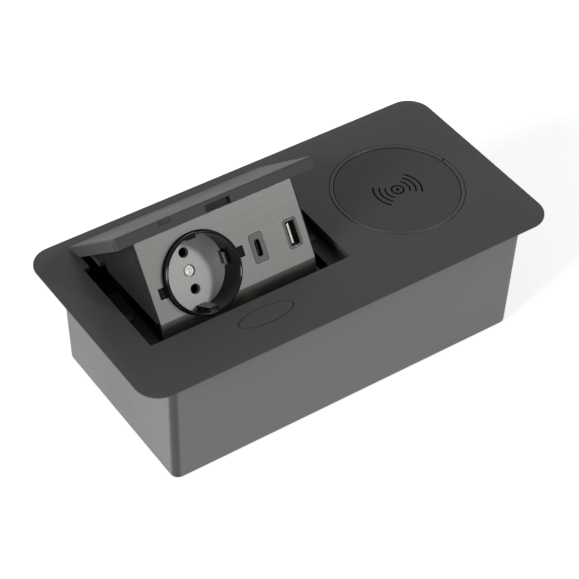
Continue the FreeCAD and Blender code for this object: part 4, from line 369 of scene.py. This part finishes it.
@dataclass(frozen=True)
class Winding(Surface):
    """Enamelled copper wire wound flat round the pad's centre, one ring for each turn."""

    centre_mm: tuple[float, float] = (65.9, 1.7)
    wire_mm: float = 1.0
    wire_height_mm: float = 0.3
    painted_groove_shade: float = 0.35

    def build(self) -> bpy.types.Material:
        """Make the wound material.

        Returns:
            The finished material.
        """
        material, tree, shader = self.start()
        shader.inputs["Metallic"].default_value = 1.0
        place = add_node(tree, "ShaderNodeTexCoord")
        centred = add_node(tree, "ShaderNodeMapping",
                           {"Location": (-self.centre_mm[0] * MM, -self.centre_mm[1] * MM, 0.0)},
                           {"Vector": place.outputs["Object"]})
        turns = add_node(tree, "ShaderNodeTexWave",
                         {"wave_type": "RINGS", "rings_direction": "Z", "Distortion": 0.0,
                          "Scale": RING_PITCH / (self.wire_mm * MM)},
                         {"Vector": centred.outputs["Vector"]})
        base = linear(self.colour)
        # Painted shade darkens the grooves between the turns.
        colour = add_node(tree, "ShaderNodeMix",
                          {"data_type": "RGBA", 6: toned(base, self.painted_groove_shade), 7: base},
                          {0: turns.outputs["Fac"]})
        bump = add_node(tree, "ShaderNodeBump", {"Strength": 1.0, "Distance": self.wire_height_mm * MM},
                        {"Height": turns.outputs["Fac"]})
        tree.links.new(colour.outputs[2], shader.inputs["Base Color"])
        tree.links.new(bump.outputs["Normal"], shader.inputs["Normal"])
        return material


@dataclass(frozen=True)
class SolderMask(Surface):
    """Glass-fibre board under green solder mask, with the copper tracks showing as paler lines."""

    track_mm: float = 3.0
    track_share: float = 0.09
    cell_wide: float = 2.3
    cell_tall: float = 0.7
    track_height_mm: float = 0.03
    second_colour: str = "0E3A1F"
    track_colour: str = "2C7A45"

    def build(self) -> bpy.types.Material:
        """Make the board's material.

        Returns:
            The finished material.
        """
        material, tree, shader = self.start()
        place = add_node(tree, "ShaderNodeTexCoord")
        cells = add_node(tree, "ShaderNodeTexBrick",
                         {"Scale": 1 / (self.track_mm * MM), "Mortar Size": self.track_share,
                          "Brick Width": self.cell_wide, "Row Height": self.cell_tall,
                          "Color1": linear(self.colour),
                          "Color2": linear(self.second_colour), "Mortar": linear(self.track_colour)},
                         {"Vector": place.outputs["Object"]})
        bump = add_node(tree, "ShaderNodeBump", {"Strength": 0.5, "Distance": self.track_height_mm * MM},
                        {"Height": cells.outputs["Fac"]})
        tree.links.new(cells.outputs["Color"], shader.inputs["Base Color"])
        tree.links.new(bump.outputs["Normal"], shader.inputs["Normal"])
        return material


class Finish(Enum):
    """The finishes of the module, each named for the real material and for any painted shade it carries."""

    # Satin ABS with a fine eroded grain: the plate looks even and dark, with soft wide highlights.
    PLATE_ABS = Moulding("satin_abs_plate", "363737", 0.46, ior=1.34, grain_mm=0.8, grain_height_mm=0.010,
                         edge_gain=0.15)
    # The lid is the same ABS in a thinner moulding, drier than the plate; its colour is a little paler, as
    # painted light for its less lit faces.
    LID_ABS = Moulding("satin_abs_lid", "3A3B3B", 0.52, ior=1.22, grain_mm=0.8, grain_height_mm=0.010,
                       edge_gain=0.2)
    # The tub's ABS is glossier: mid grey on its walls, with painted shade darkening its upright corners.
    # The photograph is too small to show its grain, so the grain's size is a guess.
    TUB_ABS = Moulding("fine_grained_abs_tub", "5F5F5F", 0.36, ior=1.45, grain_mm=1.4, grain_height_mm=0.010,
                       cloud_depth=0.04, edge_mm=0.5, edge_gain=0.1, painted_shade_depth=0.8)
    # Soft-touch pad: matt, a touch greener than the plate.
    PAD_TOUCH = Moulding("soft_touch_pad", "323534", 0.60, ior=1.34, grain_mm=0.5, grain_height_mm=0.006,
                         edge_gain=0.1)
    # Trim ring in the plate's own plastic, polished so that it draws a fine line of light.
    RING_ABS = Moulding("polished_abs_ring", "333434", 0.36, ior=1.38, grain_height_mm=0.004, edge_gain=0.25)
    # Inner mouldings: black polyamide with a coarse grain that swallows light in the well.
    BLACK_NYLON = Moulding("black_polyamide", "171718", 0.55, ior=1.32, grain_mm=0.9, grain_height_mm=0.015)
    # The socket's insert is polished black polycarbonate, which mirrors its own floor.
    BLACK_GLOSS = Moulding("polished_black_polycarbonate", "070707", 0.14, ior=1.24, grain_height_mm=0.002,
                           edge_mm=0.25, edge_gain=0.8)
    # Grey thermoset of the socket's floor, dry and slightly speckled.
    SOCKET_GREY = Moulding("grey_urea_moulding", "D2D2D0", 0.50, grain_mm=0.5, grain_height_mm=0.010,
                           cloud_mm=6.0, cloud_depth=0.05)
    # Bezels of the ports: mid-grey ABS, close to the panel's own tone.
    BEZEL_GREY = Moulding("grey_abs_bezel", "525251", 0.42, grain_mm=0.5, grain_height_mm=0.006)
    # The large port's tongue is smooth black plastic with a cold tinge.
    TONGUE_BLACK = Moulding("black_contact_carrier", "0B0C12", 0.25, grain_height_mm=0.004)
    # Sliding and moulded parts inside: waxy acetal, ivory and dipped black, smooth from the mould.
    ACETAL = Moulding("natural_acetal", "CFC9B8", 0.38, grain_height_mm=0.006)
    TERMINAL_IVORY = Moulding("ivory_terminal_moulding", "BDB9AC", 0.45, grain_height_mm=0.008)
    ELECTRIC_BLACK = Moulding("epoxy_dipped_parts", "22221F", 0.35, grain_height_mm=0.01)
    # Soft rubber of the bumpers and the grommet: matt, with next to no highlight.
    RUBBER_BLACK = Moulding("soft_black_rubber", "131313", 0.75, grain_mm=0.6, grain_height_mm=0.02,
                            edge_gain=0.2)
    # Ink printed on the pad: matt and near black, so the pictogram stays crisp.
    INK_BLACK = Moulding("printed_black_ink", "030303", 0.7, ior=1.06, grain_height_mm=0.002, edge_gain=0.0,
                         edge_mm=0.02)
    # Aluminium sheet, brushed along its length and anodised grey: it mirrors the light in wide streaks.
    PANEL_ALUMINIUM = Brushed("brushed_anodised_aluminium", "777674", 0.34)
    # Zinc gives screws, pins and springs a pale cool sheen, and nickel a warmer and brighter one.
    ZINC_STEEL = Plated("zinc_plated_steel", "B9BABD", 0.30)
    NICKEL_SHEET = Plated("nickel_plated_sheet", "D2CFC8", 0.20)
    # The large port's shell is drawn tin plate, duller than bright nickel, and darkened with painted shade
    # because it sits deep in its mouth.
    PORT_TIN = Plated("dull_tin_plate_with_painted_shade", "77777A", 0.32)
    # The earth clip's nickel is dull, and darkened with painted shade for the dark socket walls it mirrors.
    NICKEL_WITH_PAINTED_SHADE = Plated("dull_nickel_plate_painted_shade", "6B6964", 0.28)
    # The small port's shell is tin plate darkened with painted shade, so that its mouth shows nearly black.
    PORT_DARK = Plated("tin_plate_painted_dark_for_shade", "2E2E30", 0.30)
    # Sprung bronze, darkened with painted shade so that only a dull gleam shows in the pin holes.
    CONTACT_BRONZE = Plated("sprung_bronze_painted_shade", "4A3B28", 0.45)
    # The port's contact strips have a thin flash of gold.
    GOLD_FLASH = Plated("gold_flashed_contact", "E0B65A", 0.22)
    # Round copper wire under clear enamel, wound flat: fine rings, with painted shade in the grooves between
    # them.
    COPPER_WIRE = Winding("enamelled_copper_winding", "B06A3C", 0.35)
    # Sintered ferrite: dull grey-black ceramic.
    FERRITE = Moulding("sintered_ferrite", "2E2E30", 0.62, grain_mm=0.4, grain_height_mm=0.02)
    # Glass-fibre board under a green lacquer, glossier than the mouldings round it.
    GREEN_BOARD = SolderMask("green_solder_mask", "14532B", 0.35)


class Wardrobe:
    """Builds each finish once and gives it to whatever asks for it."""

    def __init__(self) -> None:
        """Start with no finish built."""
        self.made: dict[Finish, bpy.types.Material] = {}

    def material(self, finish: Finish) -> bpy.types.Material:
        """Give the material of a finish, built at its first use.

        Args:
            finish: The finish that is wanted.

        Returns:
            The one material of that finish.
        """
        if finish not in self.made:
            self.made[finish] = finish.value.build()
        return self.made[finish]

    def put_on(self, piece: bpy.types.Object, finish: Finish) -> None:
        """Give a piece one finish all over.

        Args:
            piece: A mesh object, a CAD node's or a new one.
            finish: Its finish.
        """
        piece.data.materials.clear()
        piece.data.materials.append(self.material(finish))


@dataclass
class SubAssembly:
    """A group of CAD nodes that are made and dressed together."""

    wardrobe: Wardrobe
    nodes: dict[str, bpy.types.Object]
    body: str = "base"
    finishes: dict[str, Finish] = field(default_factory=dict)
    crease_deg: float = 32.0

    def dress(self) -> None:
        """Give each node its finish, with soft shading over its curves and crisp real edges."""
        for name, finish in self.finishes.items():
            piece = self.nodes[name]
            self.wardrobe.put_on(piece, finish)
            piece.data.shade_smooth()
            piece.data.set_sharp_from_angle(angle=math.radians(self.crease_deg))
            LOG.info("%s: %s", name, finish.value.name)

    def new_piece(self, name: str, mesh: bpy.types.Mesh, finish: Finish, slot: str) -> bpy.types.Object:
        """Add a piece that only this script makes.

        Args:
            name: The piece's name.
            mesh: Its mesh, in metres in the CAD frame.
            finish: Its finish.
            slot: The record's material slot, which is not used.

        Returns:
            The new object, riding on this group's body.
        """
        piece = bpy.data.objects.new(name, mesh)
        bpy.context.scene.collection.objects.link(piece)
        self.wardrobe.put_on(piece, finish)
        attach(piece, self.body)
        LOG.info("%s: %s", name, finish.value.name)
        return piece


@dataclass
class Enclosure(SubAssembly):
    """The plate on the desk, the tub below it and what holds the two together."""

    finishes: dict[str, Finish] = field(default_factory=lambda: {
        "top_plate": Finish.PLATE_ABS,
        "housing_box": Finish.TUB_ABS,
        "housing_screws": Finish.ZINC_STEEL,
        "well_frame": Finish.BLACK_NYLON,
        "frame_screws": Finish.ZINC_STEEL,
        "lid_bumper_left": Finish.RUBBER_BLACK,
        "lid_bumper_right": Finish.RUBBER_BLACK,
        "cable_grommet": Finish.RUBBER_BLACK,
        "cord_clamp": Finish.BLACK_NYLON,
        "clamp_screws": Finish.ZINC_STEEL,
    })


@dataclass
class TiltGear(SubAssembly):
    """The hinge, its springs and the damper that slows the cassette."""

    finishes: dict[str, Finish] = field(default_factory=lambda: {
        "hinge_pin_left": Finish.ZINC_STEEL,
        "hinge_pin_right": Finish.ZINC_STEEL,
        "torsion_spring_left": Finish.ZINC_STEEL,
        "torsion_spring_right": Finish.ZINC_STEEL,
        "damper_body": Finish.BLACK_NYLON,
        "damper_pinion": Finish.BLACK_NYLON,
        "gear_sector": Finish.BLACK_NYLON,
        "sector_screws": Finish.ZINC_STEEL,
    })


@dataclass
class Release(SubAssembly):
    """The button, the latch slide and their guide and springs."""

    travel_mm: float = 1.6
    finishes: dict[str, Finish] = field(default_factory=lambda: {
        "release_button": Finish.PLATE_ABS,
        "latch_slide": Finish.ACETAL,
        "latch_guide": Finish.BLACK_NYLON,
        "guide_screws": Finish.ZINC_STEEL,
        "button_spring_left": Finish.ZINC_STEEL,
        "button_spring_right": Finish.ZINC_STEEL,
        "latch_spring": Finish.ZINC_STEEL,
    })

    def springs(self) -> None:
        """Stand copies in for the three coil springs that the button and the latch press on."""
        self.shortening("button_spring_left", "button_press", (0.0, 0.0, 1.0))
        self.shortening("button_spring_right", "button_press", (0.0, 0.0, 1.0))
        self.shortening("latch_spring", "latch_draw", (0.0, 1.0, 0.0))

    def shortening(self, node: str, joint: str, axis: tuple[float, float, float]) -> None:
        """Stand a copy of a CAD coil in for it, and hide the CAD one.

        Args:
            node: The spring's CAD node.
            joint: The joint that presses on it; not used.
            axis: The direction from its seat to what presses on it; not used.
        """
        coil = self.new_piece(f"{node}_coil", self.nodes[node].data.copy(), self.finishes[node], "steel")
        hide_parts(node)
        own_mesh(coil)


@dataclass
class Cassette(SubAssembly):
    """The tilting cassette: lid, shell, brushed panel, earthed socket and charging ports."""

    body: str = "cassette"
    tongue_long_mm: float = 9.17
    edge_tall_mm: float = 10.0
    edge_wide_mm: float = 1.1
    edge_deep_mm: float = 0.3
    edge_round_mm: float = 0.08
    strip_wide_mm: float = 1.0
    strip_long_mm: float = 6.5
    strip_thick_mm: float = 0.06
    strip_offsets_mm: tuple[float, ...] = (-3.5, -1.0, 1.0, 3.5)
    tilt_deg: float = 34.0
    finishes: dict[str, Finish] = field(default_factory=lambda: {
        "lid": Finish.LID_ABS,
        "cassette_screws": Finish.ZINC_STEEL,
        "cassette_shell": Finish.BLACK_NYLON,
        "face_panel": Finish.PANEL_ALUMINIUM,
        "socket_insert": Finish.BLACK_GLOSS,
        "socket_base": Finish.SOCKET_GREY,
        "live_contact": Finish.CONTACT_BRONZE,
        "neutral_contact": Finish.CONTACT_BRONZE,
        "earth_clip": Finish.NICKEL_WITH_PAINTED_SHADE,
        "socket_back_cover": Finish.BLACK_NYLON,
        "centre_screw": Finish.NICKEL_SHEET,
        "usb_c_bezel": Finish.BEZEL_GREY,
        "usb_c_port": Finish.PORT_DARK,
        "usb_a_bezel": Finish.BEZEL_GREY,
        "usb_a_port": Finish.PORT_TIN,
        "usb_a_tongue": Finish.TONGUE_BLACK,
        "usb_board": Finish.GREEN_BOARD,
        "usb_board_screws": Finish.ZINC_STEEL,
    })

    def leaf(self, mesh: bmesh.types.BMesh, centre: Vector, thick: float, long: float, tall: float) -> None:
        """Add one thin metal leaf in the panel's own directions.

        Args:
            mesh: The mesh that takes the leaf.
            centre: Its middle, in metres.
            thick: Its thickness along X in millimetres.
            long: Its length into the port in millimetres.
            tall: Its height along the panel in millimetres.
        """
        inward, upward = self.panel_directions()
        turn = Matrix((Vector((1, 0, 0)), inward, upward)).transposed().to_4x4()
        scale = Matrix.Diagonal((thick * MM, long * MM, tall * MM, 1))
        bmesh.ops.create_cube(mesh, size=1.0, matrix=Matrix.Translation(centre) @ turn @ scale)

    def panel_directions(self) -> tuple[Vector, Vector]:
        """Return the directions into the tilted panel and up along it."""
        tilt = math.radians(self.tilt_deg)
        return Vector((0, math.cos(tilt), -math.sin(tilt))), Vector((0, math.sin(tilt), math.cos(tilt)))

    def tongue_metal(self) -> None:
        """Cap the large port's tongue with a bright edge and lay the four gold strips on its side."""
        low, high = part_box("usb_a_tongue")
        middle = (low + high) / 2
        inward, upward = self.panel_directions()
        edge = bmesh.new()
        front = middle - inward * (self.tongue_long_mm + self.edge_deep_mm) / 2 * MM
        self.leaf(edge, front, self.edge_wide_mm, self.edge_deep_mm, self.edge_tall_mm)
        bmesh.ops.bevel(edge, geom=list(edge.edges), offset=self.edge_round_mm * MM, segments=2,
                        affect="EDGES")
        self.new_piece("port_tongue_edge", mesh_data("port_tongue_edge", edge), Finish.NICKEL_SHEET, "nickel")
        strips = bmesh.new()
        side = Vector((high.x, middle.y, middle.z))
        for offset in self.strip_offsets_mm:
            self.leaf(strips, side + upward * offset * MM, 2 * self.strip_thick_mm, self.strip_long_mm,
                      self.strip_wide_mm)
        self.new_piece("port_contact_strips", mesh_data("port_contact_strips", strips), Finish.GOLD_FLASH,
                       "contact")


@dataclass
class Charger(SubAssembly):
    """The round charging pad with its ring, its coil underneath and the printed pictogram."""

    centre_mm: tuple[float, float] = (65.7, 1.1)
    ink_mm: float = 0.04
    ink_sunk_mm: float = 0.01
    line_mm: float = 0.85
    circle_mm: float = 3.15
    arc_radii_mm: tuple[float, ...] = (6.4, 9.5, 12.6)
    arc_half_deg: float = 39.0
    step_deg: float = 4.0
    cap_turns_deg: tuple[float, ...] = (36, 72, 108, 144)
    bolt_mm: tuple[tuple[float, float], ...] = (
        (0.70, 2.10), (-1.45, -0.35), (-0.20, -0.35), (-0.70, -2.10), (1.45, 0.35), (0.20, 0.35))
    finishes: dict[str, Finish] = field(default_factory=lambda: {
        "charger_ring": Finish.RING_ABS,
        "charger_disc": Finish.PAD_TOUCH,
        "charging_coil": Finish.COPPER_WIRE,
        "ferrite_sheet": Finish.FERRITE,
        "charger_cup": Finish.BLACK_NYLON,
        "charger_board": Finish.GREEN_BOARD,
        "charger_screws": Finish.ZINC_STEEL,
    })

    def ribbon(self, mesh: bmesh.types.BMesh, radius: float, start: float, end: float, top: float) -> None:
        """Draw one arc of ink with round ends.

        Args:
            mesh: The mesh that takes the arc.
            radius: Radius of its middle line in millimetres.
            start: Start angle in degrees.
            end: End angle in degrees.
            top: Height of the pad's face in metres.
        """
        half = self.line_mm / 2
        steps = max(int(abs(end - start) / self.step_deg), 6)
        angles = [math.radians(start + (end - start) * step / steps) for step in range(steps + 1)]
        outer = [self.polar(radius + half, angle) for angle in angles]
        inner = [self.polar(radius - half, angle) for angle in angles]
        if abs(end - start) < 360:
            end_cap = self.cap(radius, angles[-1], 1)
            start_cap = self.cap(radius, angles[0], -1)
            self.plate(mesh, outer + end_cap + inner[::-1] + start_cap[::-1], top)
            return
        outer, inner = outer[:-1], inner[:-1]
        for step in range(steps):
            following = (step + 1) % steps
            self.plate(mesh, [outer[step], outer[following], inner[following], inner[step]], top)

    def polar(self, radius: float, angle: float) -> Vector:
        """Return the point at a radius and an angle in radians."""
        return Vector((radius * math.cos(angle), radius * math.sin(angle)))

    def cap(self, radius: float, angle: float, side: int) -> list[Vector]:
        """Return the round end of an arc.

        Args:
            radius: Radius of the arc's middle line in millimetres.
            angle: The end's angle in radians.
            side: 1 at the arc's end, -1 at its start.

        Returns:
            The end's points from the arc's outer line to its inner one.
        """
        middle = self.polar(radius, angle)
        return [middle + self.polar(self.line_mm / 2, angle + side * math.radians(turn))
                for turn in self.cap_turns_deg]

    def plate(self, mesh: bmesh.types.BMesh, outline: Iterable[Vector], top: float) -> None:
        """Add a flat patch of ink with its thin edge.

        Args:
            mesh: The mesh that takes the patch.
            outline: Its outline round the pictogram's centre, in millimetres.
            top: Height of the pad's face in metres.
        """
        middle = Vector((self.centre_mm[0], self.centre_mm[1]))
        flat = [(middle + point) * MM for point in outline]
        lower = [mesh.verts.new((point.x, point.y, top - self.ink_sunk_mm * MM)) for point in flat]
        upper = [mesh.verts.new((point.x, point.y, top + self.ink_mm * MM)) for point in flat]
        mesh.faces.new(upper)
        mesh.faces.new(lower[::-1])
        for step in range(len(flat)):
            following = (step + 1) % len(flat)
            mesh.faces.new((lower[step], lower[following], upper[following], upper[step]))

    def pictogram(self) -> None:
        """Print the charging pictogram: a bolt in a circle with three waves on each side."""
        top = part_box("charger_disc")[1].z
        mesh = bmesh.new()
        self.ribbon(mesh, self.circle_mm, 0, 360, top)
        for radius in self.arc_radii_mm:
            for middle in (0, 180):
                self.ribbon(mesh, radius, middle - self.arc_half_deg, middle + self.arc_half_deg, top)
        self.plate(mesh, [Vector(point) for point in self.bolt_mm], top)
        bmesh.ops.recalc_face_normals(mesh, faces=mesh.faces)
        self.new_piece("charging_pictogram", mesh_data("charging_pictogram", mesh), Finish.INK_BLACK, "ring")


@dataclass
class Supply(SubAssembly):
    """The mains supply in the right half of the tub."""

    finishes: dict[str, Finish] = field(default_factory=lambda: {
        "supply_board": Finish.GREEN_BOARD,
        "supply_screws": Finish.ZINC_STEEL,
        "transformer": Finish.ELECTRIC_BLACK,
        "filter_capacitors": Finish.ELECTRIC_BLACK,
        "terminal_block": Finish.TERMINAL_IVORY,
    })


@dataclass(frozen=True)
class Lamp:
    """One soft square lamp: its place and side in metres, and its power in watts."""

    name: str
    place: tuple[float, float, float]
    side: float
    power: float


@dataclass
class Studio:
    """A white floor that keeps the shadow, soft light and the photograph's camera."""

    camera_mm: tuple[float, float, float] = (-436.71, -616.84, 748.3)
    azimuth_deg: float = -34.732
    elevation_deg: float = 43.487
    roll_deg: float = 1.21
    focal_px: float = 2033.16
    centre_px: tuple[float, float] = (276.781, 293.404)
    floor_side: float = 14.0
    floor_gap: float = 0.0004
    floor_colour: str = "E6E6E6"
    floor_lift: float = 0.52
    world_level: float = 0.28
    lamps: tuple[Lamp, ...] = (Lamp("side_lamp", (-2.1, -0.35, 1.0), 0.8, 50.0),
                               Lamp("front_lamp", (1.0, -1.35, 1.55), 0.3, 19.0))
    aim: tuple[float, float, float] = (0.0, 0.0, 0.05)
    sensor_mm: float = 36.0
    clip: tuple[float, float] = (0.05, 50.0)

    def seen(self, tree: bpy.types.NodeTree) -> bpy.types.NodeSocket:
        """Tell the rays that show a surface from those that only light the module.

        Args:
            tree: The node tree of the floor or of the world.

        Returns:
            An output that is 1 for the camera, a mirror or glass, and 0 otherwise.
        """
        ray = add_node(tree, "ShaderNodeLightPath")
        mirrored = add_node(tree, "ShaderNodeMath", {"operation": "MAXIMUM"},
                            {0: ray.outputs["Is Glossy Ray"], 1: ray.outputs["Is Transmission Ray"]})
        either = add_node(tree, "ShaderNodeMath", {"operation": "MAXIMUM"},
                          {0: ray.outputs["Is Camera Ray"], 1: mirrored.outputs[0]})
        return either.outputs[0]

    def floor(self) -> None:
        """Lay the white floor: plain paint, lifted to white for the camera and for mirrors."""
        mesh = bmesh.new()
        bmesh.ops.create_grid(mesh, x_segments=1, y_segments=1, size=self.floor_side / 2)
        data = mesh_data("floor", mesh)
        floor = bpy.data.objects.new("floor", data)
        floor.location.z = -self.floor_gap
        bpy.context.scene.collection.objects.link(floor)
        material = bpy.data.materials.new("white_paper_floor")
        material.use_nodes = True
        tree = material.node_tree
        tree.nodes.clear()
        paint = add_node(tree, "ShaderNodeBsdfDiffuse", {"Color": linear(self.floor_colour)})
        lift = add_node(tree, "ShaderNodeMath", {"operation": "MULTIPLY", 1: self.floor_lift},
                        {0: self.seen(tree)})
        glow = add_node(tree, "ShaderNodeEmission", {"Color": WHITE}, {"Strength": lift.outputs[0]})
        both = add_node(tree, "ShaderNodeAddShader", {}, {0: paint.outputs[0], 1: glow.outputs[0]})
        add_node(tree, "ShaderNodeOutputMaterial", {}, {"Surface": both.outputs[0]})
        data.materials.append(material)

    def world(self) -> None:
        """Fill the room with plain light, white where the camera or a mirror sees it."""
        world = bpy.data.worlds.new("studio_room")
        bpy.context.scene.world = world
        world.use_nodes = True
        tree = world.node_tree
        tree.nodes.clear()
        level = add_node(tree, "ShaderNodeMapRange", {"To Min": self.world_level, "To Max": 1.0},
                         {"Value": self.seen(tree)})
        room = add_node(tree, "ShaderNodeBackground", {"Color": WHITE}, {"Strength": level.outputs["Result"]})
        add_node(tree, "ShaderNodeOutputWorld", {}, {"Surface": room.outputs[0]})

    def hang(self, lamp: Lamp) -> None:
        """Hang one lamp so that it looks at the module.

        Args:
            lamp: The lamp to hang.
        """
        data = bpy.data.lights.new(lamp.name, "AREA")
        data.shape = "SQUARE"
        data.size = lamp.side
        data.energy = lamp.power
        hung = bpy.data.objects.new(lamp.name, data)
        hung.location = lamp.place
        sight = Vector(self.aim) - Vector(lamp.place)
        hung.rotation_euler = sight.to_track_quat("-Z", "Y").to_euler()
        bpy.context.scene.collection.objects.link(hung)

    def camera(self) -> None:
        """Place the camera where the photograph's was."""
        azimuth = math.radians(self.azimuth_deg)
        elevation = math.radians(self.elevation_deg)
        roll = math.radians(self.roll_deg)
        back = Vector((math.sin(azimuth) * math.cos(elevation), -math.cos(azimuth) * math.cos(elevation),
                       math.sin(elevation)))
        level_right = Vector((math.cos(azimuth), math.sin(azimuth), 0.0))
        level_up = back.cross(level_right)
        right = level_right * math.cos(roll) + level_up * math.sin(roll)
        upward = level_up * math.cos(roll) - level_right * math.sin(roll)
        data = bpy.data.cameras.new("photo_camera")
        data.sensor_width = self.sensor_mm
        data.lens = self.focal_px * data.sensor_width / PHOTO_SIDE
        data.shift_x = (PHOTO_SIDE / 2 - self.centre_px[0]) / PHOTO_SIDE
        data.shift_y = (self.centre_px[1] - PHOTO_SIDE / 2) / PHOTO_SIDE
        data.clip_start, data.clip_end = self.clip
        camera = bpy.data.objects.new("photo_camera", data)
        turn = Matrix((right, upward, back)).transposed().to_4x4()
        camera.matrix_world = Matrix.Translation(Vector(self.camera_mm) * MM) @ turn
        bpy.context.scene.collection.objects.link(camera)
        bpy.context.scene.camera = camera

    def build(self) -> None:
        """Set up the floor, the light and the camera."""
        bpy.context.scene.view_settings.view_transform = "Standard"
        self.floor()
        self.world()
        for lamp in self.lamps:
            self.hang(lamp)
        self.camera()


def main() -> None:
    """Load the frame, dress the module and set up the studio."""
    logging.basicConfig(level=logging.INFO, format="%(name)s: %(message)s")
    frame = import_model()
    wardrobe = Wardrobe()
    nodes = frame["nodes"]
    cassette = Cassette(wardrobe, nodes)
    charger = Charger(wardrobe, nodes)
    release = Release(wardrobe, nodes)
    groups: list[SubAssembly] = [Enclosure(wardrobe, nodes), TiltGear(wardrobe, nodes), release,
                                 cassette, charger, Supply(wardrobe, nodes)]
    for group in groups:
        group.dress()
    release.springs()
    cassette.tongue_metal()
    charger.pictogram()
    undressed = set(nodes) - {name for group in groups for name in group.finishes}
    if undressed:
        raise ValueError(f"these nodes have no finish: {sorted(undressed)}")
    Studio().build()


if __name__ == "__main__":
    main()
